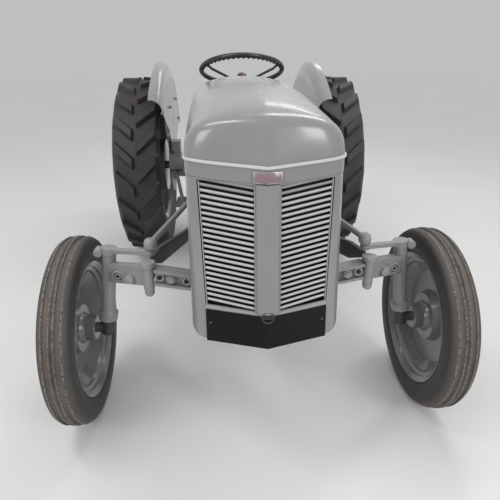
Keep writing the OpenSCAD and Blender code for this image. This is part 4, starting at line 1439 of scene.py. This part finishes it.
@dataclass(frozen=True)
class BentPlate:
    """A plate bent over the prow's crease."""

    name: str
    half: float
    low: float
    high: float
    thick: float
    rounding: float = 0.0012

    def build(self, prow: Prow, out: float) -> Object:
        """Make the plate.

        Args:
            prow: The prow that it follows.
            out: Distance of its face in front of the prow.

        Returns:
            The plate.
        """
        across = (-self.half, 0.0, self.half)
        front = [prow.at(x, self.low, out) for x in across]
        back = [prow.at(x, self.low, out - self.thick) for x in reversed(across)]
        rise = Vector(prow.at(0, self.high)) - Vector(prow.at(0, self.low))
        return Bench.extruded(self.name, front + back, tuple(rise), self.rounding)


@dataclass(frozen=True)
class Badge:
    """The bare badge on the bead band: a bright rim and the face in it."""

    prow: Prow
    seat_z: float = 0.994
    rim: BentPlate = BentPlate("badge_rim", 0.040, 0.984, 1.0165, 0.004)
    rim_out: float = 0.0015
    face: BentPlate = BentPlate("badge_face", 0.0365, 0.9875, 1.013, 0.003)
    face_out: float = 0.0024

    def build(self, finishes: Finishes) -> None:
        """Build the badge.

        Args:
            finishes: The tractor's finishes.
        """
        lift = self.prow.at(0, self.seat_z)[1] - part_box("bonnet_band")[0][1]
        rim = self.rim.build(self.prow, lift + self.rim_out)
        Bench.fit(rim, "bonnet", finishes.bright, "light_enamel")
        face = self.face.build(self.prow, lift + self.face_out)
        Bench.fit(face, "bonnet", finishes.badge, "light_enamel")


@dataclass(frozen=True)
class NumberPlate:
    """The blank plate with its screws and the lip of the starting handle's hole.

    The lip's profile is given as distances outside the hole's radius and along its axis.
    """

    prow: Prow
    hole_z: float = 0.598
    hole_r: float = 0.018
    lip_out: float = 0.0045
    lip: Profile = (
        (-0.0020, -0.006), (-0.0020, -0.001), (-0.0014, 0.0002), (-0.0004, 0.0006),
        (0.0005, 0.0001), (0.0008, -0.001), (0.0008, -0.004), (-0.0004, -0.006),
    )
    screw_x: float = 0.168
    screw_z: float = 0.566
    screw_out: float = 0.0042
    screw: Profile = (
        (0, 0), (0.0042, 0), (0.0044, 0.0008), (0.0036, 0.0022), (0.0018, 0.0029), (0, 0.0031),
    )

    def build(self, finishes: Finishes) -> None:
        """Build the plate, the hole's lip and the screws.

        Args:
            finishes: The tractor's finishes.
        """
        plate = NodeCopy("number_plate", "bent_plate", "bonnet", "black_enamel", 30, 0.0008)
        plate.build(finishes.plate)
        x, y, z = self.prow.at(0, self.hole_z)
        lip = [(self.hole_r + outside, along) for outside, along in self.lip]
        # the lip is dark ironwork reaching over the hole's edge: painted shade round the hole
        ring = Bench.turned("handle_hole_lip", lip, 48, 50, (x, y - self.lip_out, z), FORWARD)
        Bench.fit(ring, "bonnet", finishes.dark, "dark_iron")
        spots = [
            (
                self.prow.at(side.value * self.screw_x, self.screw_z, self.screw_out),
                self.prow.outward(side),
            )
            for side in Side
        ]
        screws = Bench.turned_set("plate_screws", self.screw, spots, 20, 30)
        Bench.fit(screws, "bonnet", finishes.dark, "black_enamel")


@dataclass(frozen=True)
class FrontAxle:
    """The cast arms and knuckles, the radius rods, and the beam's rings and bolts."""

    beam_d: float = -0.110
    beam_front: float = 0.0149
    beam_end: tuple[float, float] = (0.358, 0.614)
    beam_rise: float = 0.19
    holes: tuple[float, ...] = (0.341, 0.250)
    bolt_x: float = 0.303
    bolt_d: float = -0.118
    arm_root: tuple[float, float] = (0.3951, -0.1150)
    arm_sweep: float = 32.4
    arm_hole: tuple[float, float] = (0.495, 0.587)
    arm_bolt: tuple[float, float] = (0.446, 0.592)
    boss_turn: float = 12.0
    pin_lean: float = 7.0
    pin_foot: tuple[float, float] = (0.567837, 0.350)
    collar: Range = (0.380, 0.456)
    collar_reach: Range = (0.019, 0.050)
    collar_drop: float = 0.018
    flange: Range = (0.395, 0.412)
    flange_reach: Range = (0.0175, 0.027)
    flange_drop: float = 0.019
    # below this height the knuckles take dark ironwork: painted shade
    shaded_below: float = 0.391
    eye_x: float = 0.379
    eye_d: float = -0.118
    eye_reach: float = 0.0265
    dome_z: float = 0.5545
    boss: Point = (0.566, -0.004, 0.662)
    arm_head: BoltHead = BoltHead(0.029, 0.016)
    beam_head: BoltHead = BoltHead(0.030, 0.013)
    beam_ring: Profile = (
        (0.0092, 0), (0.0160, 0), (0.0165, 0.0015), (0.0150, 0.0038), (0.0120, 0.0042),
        (0.0098, 0.0030), (0.0092, 0.0012),
    )
    arm_ring: Profile = (
        (0.0150, -0.012), (0.0150, 0.0062), (0.0162, 0.0084), (0.0192, 0.0084),
        (0.0212, 0.0062), (0.0222, -0.012),
    )
    arm_bush: Profile = (
        (0.0062, -0.010), (0.0062, 0.0066), (0.0074, 0.0080), (0.0100, 0.0080),
        (0.0116, 0.0062), (0.0120, -0.010),
    )
    # a near-black disc inside the arm's ring: painted shade in the recess
    arm_recess: Profile = ((0, -0.010), (0.0185, -0.010), (0.0185, 0.0040), (0, 0.0040))
    dome: Profile = (
        (0, -0.0165), (0.0070, -0.0155), (0.0130, -0.0110), (0.0165, -0.0040),
        (0.0170, 0.0030), (0.0150, 0.0070), (0.0130, 0.0080), (0.0175, 0.0090),
        (0.0175, 0.0130), (0, 0.0130),
    )
    pinch_boss: Profile = (
        (0, -0.020), (0.013, -0.020), (0.0155, -0.0175), (0.0155, 0.0175), (0.013, 0.020),
        (0, 0.020),
    )

    def pin_x(self, z: float) -> float:
        """Return the place across of the left kingpin's axis at a height."""
        return self.pin_foot[0] + (self.pin_foot[1] - z) * math.tan(math.radians(self.pin_lean))

    def beam_z(self, x: float) -> float:
        """Return the height of the beam's middle line at a place across it."""
        return self.beam_end[1] - (self.beam_end[0] - x) * self.beam_rise

    def arm_spot(self, side: Side, x: float, z: float) -> Spot:
        """Find a spot on the front face of an outer arm.

        Args:
            side: The arm's side.
            x: Place across the tractor.
            z: Height.

        Returns:
            The spot and where its boss looks.
        """
        sweep, turn = math.radians(self.arm_sweep), math.radians(self.boss_turn)
        along = (x - self.arm_root[0]) / math.cos(sweep)
        distance = self.arm_root[1] + along * math.sin(sweep)
        return side.at(x, behind(distance), z), side.at(math.sin(turn), -math.cos(turn), 0.0)

    def slide_down(
        self, piece: Object, side: Side, heights: Range, reach: Range, drop: float
    ) -> None:
        """Slide a ring of points round a kingpin down the pin's axis.

        Args:
            piece: The piece that has the points.
            side: The kingpin's side.
            heights: Lowest and highest point of the ring.
            reach: Its inner and outer distance from the axis.
            drop: How far it slides.
        """

        def in_ring(spot: Vector) -> bool:
            """Say whether a point belongs to the ring."""
            away = math.hypot(spot.x - side.value * self.pin_x(spot.z), spot.y - behind(0))
            return heights[0] < spot.z < heights[1] and reach[0] < away < reach[1]

        Bench.pick_points(piece, in_ring)
        lean = math.radians(self.pin_lean)
        with Bench.reopened(piece):
            bpy.ops.transform.translate(
                value=side.at(drop * math.sin(lean), 0.0, -drop * math.cos(lean))
            )

    def build_rings(self, finishes: Finishes) -> None:
        """Build the rings round the holes of the beam and of the arms.

        Args:
            finishes: The tractor's finishes.
        """
        front = behind(self.beam_d - self.beam_front)
        spots = [(side.at(x, front, self.beam_z(x)), FORWARD) for side in Side for x in self.holes]
        rings = Bench.turned_set("beam_rings", self.beam_ring, spots, 28, 40)
        Bench.fit(rings, "chassis", finishes.casting, "enamel")
        spots = [self.arm_spot(side, *self.arm_hole) for side in Side]
        for name, profile, finish, slot in (
            ("arm_rings", self.arm_ring, finishes.casting, "enamel"),
            ("arm_bushes", self.arm_bush, finishes.frames, "light_enamel"),
            # the recess discs are near-black: painted shade in the arms' holes
            ("arm_recesses", self.arm_recess, finishes.pitch, "dark_iron"),
        ):
            rings = Bench.turned_set(name, profile, spots, 32, 40)
            Bench.fit(rings, "chassis", finish, slot)

    def build_knuckles(self, finishes: Finishes) -> None:
        """Build the knuckles, in casting enamel above and in dark ironwork below as painted shade.

        Args:
            finishes: The tractor's finishes.
        """
        for side in Side:
            node = f"knuckle_{side.word}"
            copy = NodeCopy(node, f"cast_{node}", node, "enamel", 40, 0.0025, 2, 40)
            knuckle = copy.build(
                finishes.casting,
                lambda piece: self.slide_down(
                    piece, side, self.flange, self.flange_reach, self.flange_drop
                ),
            )
            # the lower faces take dark ironwork: painted shade under the knuckle
            Bench.recoat(knuckle, finishes.dark, lambda face: face.center.z < self.shaded_below)

    def build_rods(self, finishes: Finishes) -> None:
        """Build the radius rods with their light eyes and the dome nuts under these.

        Args:
            finishes: The tractor's finishes.
        """
        copy = NodeCopy("radius_arms", "radius_rods", "chassis", "dark_iron", 40, 0.002, 2, 40)
        eye_y = behind(self.eye_d)

        def on_eye(face: bpy.types.MeshPolygon) -> bool:
            """Say whether a face belongs to one of the eyes."""
            away = math.hypot(abs(face.center.x) - self.eye_x, face.center.y - eye_y)
            return away < self.eye_reach

        Bench.recoat(copy.build(finishes.dark), finishes.casting, on_eye)
        spots = [(side.at(self.eye_x, eye_y, self.dome_z), UP) for side in Side]
        domes = Bench.turned_set("dome_nuts", self.dome, spots, 24, 40)
        Bench.fit(domes, "chassis", finishes.casting, "enamel")

    def build_arms(self, finishes: Finishes) -> None:
        """Build the outer arms with their collars and bolts.

        Args:
            finishes: The tractor's finishes.
        """

        def lower_collars(piece: Object) -> None:
            """Slide both collars down their kingpins."""
            for side in Side:
                self.slide_down(piece, side, self.collar, self.collar_reach, self.collar_drop)

        copy = NodeCopy("axle_arms", "cast_arms", "chassis", "enamel", 40, 0.0035, 2, 40)
        copy.build(finishes.casting, lower_collars)
        spots = [self.arm_spot(side, *self.arm_bolt) for side in Side]
        bolts = self.arm_head.at_spots("arm_bolts", spots, 20)
        Bench.fit(bolts, "chassis", finishes.frames, "light_enamel")

    def build_bosses(self, finishes: Finishes) -> None:
        """Build the pinch bosses at the top of the knuckles.

        Args:
            finishes: The tractor's finishes.
        """
        model = Bench.turned("pinch_boss", self.pinch_boss, 32, 40)
        x, distance, z = self.boss
        for side in Side:
            copy = Bench.copied(model, f"pinch_boss_{side.word}")
            Bench.aim(copy, side.at(x, behind(distance), z), FORWARD)
            body = f"knuckle_{side.word}"
            Bench.fit(Bench.settle(copy, 40), body, finishes.casting, "enamel")
        Bench.discard(model)

    def build(self, finishes: Finishes) -> None:
        """Build the axle's pieces.

        Args:
            finishes: The tractor's finishes.
        """
        self.build_rings(finishes)
        self.build_knuckles(finishes)
        self.build_rods(finishes)
        self.build_arms(finishes)
        self.build_bosses(finishes)
        place = (self.bolt_x, behind(self.bolt_d), self.beam_z(self.bolt_x))
        spots = [(side.at(*place), FORWARD) for side in Side]
        bolts = self.beam_head.at_spots("beam_bolts", spots, 12)
        Bench.fit(bolts, "chassis", finishes.casting, "enamel")


@dataclass(frozen=True)
class SteeringWheel:
    """The black wheel with finger grips under its rim and the brown cap on its hub."""

    radius: float = 0.210
    grip: float = 0.0125
    tilt: float = 20.0
    behind_axle: float = 1.049
    height: float = 1.236
    grips: int = 52
    grip_inset: float = 0.0045
    grip_sunk: float = 0.0026
    grip_profile: Profile = (
        (0, -0.0062), (0.0040, -0.0050), (0.0062, -0.0022), (0.0062, 0.0022),
        (0.0040, 0.0050), (0, 0.0062),
    )
    cap_drop: float = 0.034
    cap_profile: Profile = (
        (0, 0), (0.024, 0), (0.0255, 0.003), (0.025, 0.008), (0.021, 0.014),
        (0.014, 0.0185), (0, 0.021),
    )

    def grip_spots(self, centre: Vector, up: Vector) -> list[Spot]:
        """Lay out the finger grips round the rim.

        Args:
            centre: The rim's centre.
            up: Direction of the wheel's axis.

        Returns:
            Place and direction of each grip.
        """
        across = Vector((1.0, 0.0, 0.0))
        ahead = up.cross(across)
        spots = []
        for k in range(self.grips):
            turn = math.tau * k / self.grips
            spoke = math.cos(turn) * across + math.sin(turn) * ahead
            along = -math.sin(turn) * across + math.cos(turn) * ahead
            under = (self.grip - self.grip_sunk) * up
            place = centre + (self.radius - self.grip_inset) * spoke - under
            spots.append((tuple(place), tuple(along)))
        return spots

    def build(self, finishes: Finishes) -> None:
        """Build the wheel, its finger grips and its cap.

        Args:
            finishes: The tractor's finishes.
        """
        lean = math.radians(self.tilt)
        up = Vector((0.0, math.sin(lean), math.cos(lean)))
        centre = Vector((0.0, behind(self.behind_axle), self.height))
        wheel = NodeCopy("steering_wheel", "grip_wheel", "steering_wheel", "black_grip", 35)
        wheel.build(finishes.black)
        spots = self.grip_spots(centre, up)
        grips = Bench.turned_set("finger_grips", self.grip_profile, spots, 10, 60)
        Bench.fit(grips, "steering_wheel", finishes.black, "black_grip")
        place = tuple(centre - self.cap_drop * up)
        cap = Bench.turned("wheel_cap", self.cap_profile, 40, 50, place, tuple(up))
        Bench.fit(cap, "steering_wheel", finishes.cap, "black_grip")


class Fenders:
    """The skins of both fenders."""

    def build(self, finishes: Finishes) -> None:
        """Build the fenders.

        Args:
            finishes: The tractor's finishes.
        """
        for side in Side:
            node, name = f"fender_{side.word}", f"fender_skin_{side.word}"
            NodeCopy(node, name, "chassis", "enamel", 40).build(finishes.sheet)


@dataclass(frozen=True)
class Dials:
    """The dials on the dash, with blank faces and needles."""

    places: tuple[float, ...] = (-0.110, -0.036, 0.038, 0.112)
    turns: tuple[float, ...] = (40.0, -55.0, 15.0, 120.0)
    height: float = 1.080
    bezel: Profile = (
        (0.0232, -0.003), (0.0232, 0.0028), (0.0240, 0.0040), (0.0262, 0.0044),
        (0.0282, 0.0030), (0.0286, -0.003),
    )
    face: Profile = ((0, -0.002), (0.0236, -0.002), (0.0236, 0.0012), (0, 0.0012))
    needle: tuple[Point, ...] = (
        (-0.0011, -0.005, 0.0012), (0.0011, -0.005, 0.0012),
        (0.0004, 0.0185, 0.0012), (-0.0004, 0.0185, 0.0012),
    )
    needle_h: float = 0.0007

    def build(self, finishes: Finishes) -> None:
        """Build the dials.

        Args:
            finishes: The tractor's finishes.
        """
        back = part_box("dash")[1][1]
        spots = [((x, back, self.height), REARWARD) for x in self.places]
        model = Bench.extruded("dial_needle", self.needle, (0, 0, self.needle_h))
        needles = []
        for (place, direction), turn in zip(spots, self.turns):
            copy = Bench.copied(model, "dial_needle_copy")
            Bench.aim(copy, place, direction, turn)
            needles.append(Bench.settle(copy))
        Bench.discard(model)
        bezels = Bench.turned_set("dial_bezels", self.bezel, spots, 36, 40)
        Bench.fit(bezels, "chassis", finishes.bright, "light_enamel")
        faces = Bench.turned_set("dial_faces", self.face, spots, 36, 40)
        Bench.fit(faces, "chassis", finishes.dial, "light_enamel")
        both = Bench.joined("dial_needles", *needles)
        Bench.fit(both, "chassis", finishes.black, "black_enamel")


@dataclass(frozen=True)
class Fixings:
    """Bolts of the bell flange, the fenders and the lift cover."""

    flange_y: float = -0.3812
    flange_middle: float = 0.590
    flange_halves: tuple[float, float] = (0.163, 0.178)
    flange_angles: tuple[float, ...] = (14, 42, 138, 166, 194, 222, 318, 346)
    fender_x: float = 0.4424
    fender_bolts: Profile = ((0.300, 0.860), (0.560, 1.000), (0.980, 1.020), (1.180, 0.860))
    cover_x: float = 0.112
    cover_z: float = 0.8236
    cover_slope: Point = (0.768, 0.0, 0.640)
    cover_bolts: tuple[float, ...] = (0.490, 0.5775, 0.665, 0.7525, 0.840)
    head_share: float = 0.6
    spin: float = 15.0

    def flange_spots(self) -> list[Spot]:
        """Lay out the bolts round the bell flange.

        Returns:
            Place and direction of each bolt.
        """
        half_x, half_z = self.flange_halves
        spots = []
        for angle in map(math.radians, self.flange_angles):
            z = self.flange_middle + half_z * math.sin(angle)
            spots.append(((half_x * math.cos(angle), self.flange_y, z), REARWARD))
        return spots

    def build(self, finishes: Finishes) -> None:
        """Build the bolts.

        Args:
            finishes: The tractor's finishes.
        """
        fender = [
            (side.at(self.fender_x, y, z), (-side.value, 0.0, 0.0))
            for side in Side
            for y, z in self.fender_bolts
        ]
        cover = [
            (side.at(self.cover_x, y, self.cover_z), side.at(*self.cover_slope))
            for side in Side
            for y in self.cover_bolts
        ]
        for name, across, spots in (
            ("bell_bolts", 0.019, self.flange_spots()),
            ("fender_bolts", 0.017, fender),
            ("lift_cover_bolts", 0.018, cover),
        ):
            bolts = BoltHead(across, self.head_share * across).at_spots(name, spots, self.spin)
            Bench.fit(bolts, "chassis", finishes.casting, "enamel")


@dataclass(frozen=True)
class FrontWheel:
    """One front wheel's ribbed tyre and the nuts round its hub.

    The tyre's section runs from the rim's bead to the crown, given as shares of half its width
    and depths under its tread in millimetres.
    """

    side: Side
    track: float = 1.321
    outer_r: float = 0.350
    hub_z: float = 0.350
    rim_r: float = 0.241
    half_w: float = 0.053
    foot: Profile = ((0.0003, -0.0363), (0.0150, -0.0403))
    section: Profile = (
        (-0.86, 91), (-0.90, 88), (-0.93, 82.5), (-0.935, 81), (-0.95, 80), (-0.985, 72),
        (-1.0, 62), (-1.0, 46), (-0.97, 32), (-0.93, 20), (-0.86, 12.5), (-0.76, 8.5),
        (-0.66, 5.5), (-0.58, 3.2), (-0.545, 2.6), (-0.525, 3.4), (-0.515, 6.0), (-0.49, 9.4),
        (-0.46, 10.4), (-0.25, 10.4), (-0.22, 9.4), (-0.195, 5.0), (-0.185, 1.6),
        (-0.165, 0.4), (-0.13, 0.0), (-0.05, 0.0),
    )
    nut: BoltHead = BoltHead(0.019, 0.014)
    nuts: int = 5
    nut_r: float = 0.066
    nut_out: float = 0.0119

    def profile(self) -> list[tuple[float, float]]:
        """Work out the tyre's section.

        Returns:
            Its points, as (radius, place across the tyre).
        """
        half = [(self.rim_r + up, across) for up, across in self.foot]
        for share, depth in self.section:
            half.append((self.outer_r - depth / 1000, share * self.half_w))
        return half + [(radius, -across) for radius, across in reversed(half)]

    def build(self, finishes: Finishes) -> None:
        """Build the wheel's pieces.

        Args:
            finishes: The tractor's finishes.
        """
        word, body = self.side.word, f"front_wheel_{self.side.word}"
        x, y, z = self.side.at(self.track / 2, behind(0), self.hub_z)
        outward = (self.side.value, 0, 0)
        tyre = Bench.turned(f"ribbed_tyre_{word}", self.profile(), 128, 24, (x, y, z), outward)
        Bench.fit(tyre, body, finishes.tyre_front, "tyre", f"front_tyre_{word}")
        face = (x + self.side.value * self.nut_out, y, z)
        spots = bolt_circle(self.side, face, self.nut_r, self.nuts, 0.25)
        nuts = self.nut.at_spots(f"wheel_nuts_{word}", spots)
        # the nuts share the wheel's darker enamel: painted shade
        Bench.fit(nuts, body, finishes.wheel, "enamel")


@dataclass(frozen=True)
class RearWheel:
    """One rear wheel's lugged tyre and the bolts of its hub and disc."""

    side: Side
    wheel_x: float = 0.630
    bolts: int = 8
    hub_bolt_r: float = 0.152
    hub_bolt_x: float = -0.0362
    hub_bolt_across: float = 0.026
    disc_bolt_r: float = 0.3085
    disc_bolt_x: float = -0.0022
    disc_bolt_across: float = 0.018
    head_share: float = 0.6

    def build(self, finishes: Finishes) -> None:
        """Build the wheel's pieces.

        Args:
            finishes: The tractor's finishes.
        """
        word, body = self.side.word, f"rear_wheel_{self.side.word}"
        tyre = NodeCopy(f"rear_tyre_{word}", f"lugged_tyre_{word}", body, "tyre", 35, 0.004, 2, 28)
        tyre.build(finishes.tyre)
        low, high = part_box(body)
        y, z = ((low[k] + high[k]) / 2 for k in (1, 2))
        for label, radius, out, across in (
            ("rear_hub_bolts", self.hub_bolt_r, self.hub_bolt_x, self.hub_bolt_across),
            ("rear_disc_bolts", self.disc_bolt_r, self.disc_bolt_x, self.disc_bolt_across),
        ):
            centre = self.side.at(self.wheel_x + out, y, z)
            spots = bolt_circle(self.side, centre, radius, self.bolts, 0.5)
            head = BoltHead(across, self.head_share * across)
            bolts = head.at_spots(f"{label}_{word}", spots, 10)
            # the bolts share the wheel's darker enamel: painted shade
            Bench.fit(bolts, body, finishes.wheel, "enamel")


def main() -> None:
    """Build the tractor's finished look piece by piece."""
    logging.basicConfig(level=logging.INFO, format="%(message)s")
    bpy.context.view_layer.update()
    Stage().build()
    finishes = Finishes()
    finishes.coat_all()
    prow = Prow()
    pieces: list[tuple[str, Builder]] = [
        ("bonnet", Bonnet()),
        ("grille", Grille(prow)),
        ("badge", Badge(prow)),
        ("number plate", NumberPlate(prow)),
        ("front axle", FrontAxle()),
        ("steering wheel", SteeringWheel()),
        ("fenders", Fenders()),
        ("dials", Dials()),
        ("fixings", Fixings()),
    ]
    for side in Side:
        pieces.append((f"{side.word} front wheel", FrontWheel(side)))
        pieces.append((f"{side.word} rear wheel", RearWheel(side)))
    for label, piece in pieces:
        piece.build(finishes)
        LOG.info("built the %s", label)


if __name__ == "__main__":
    main()
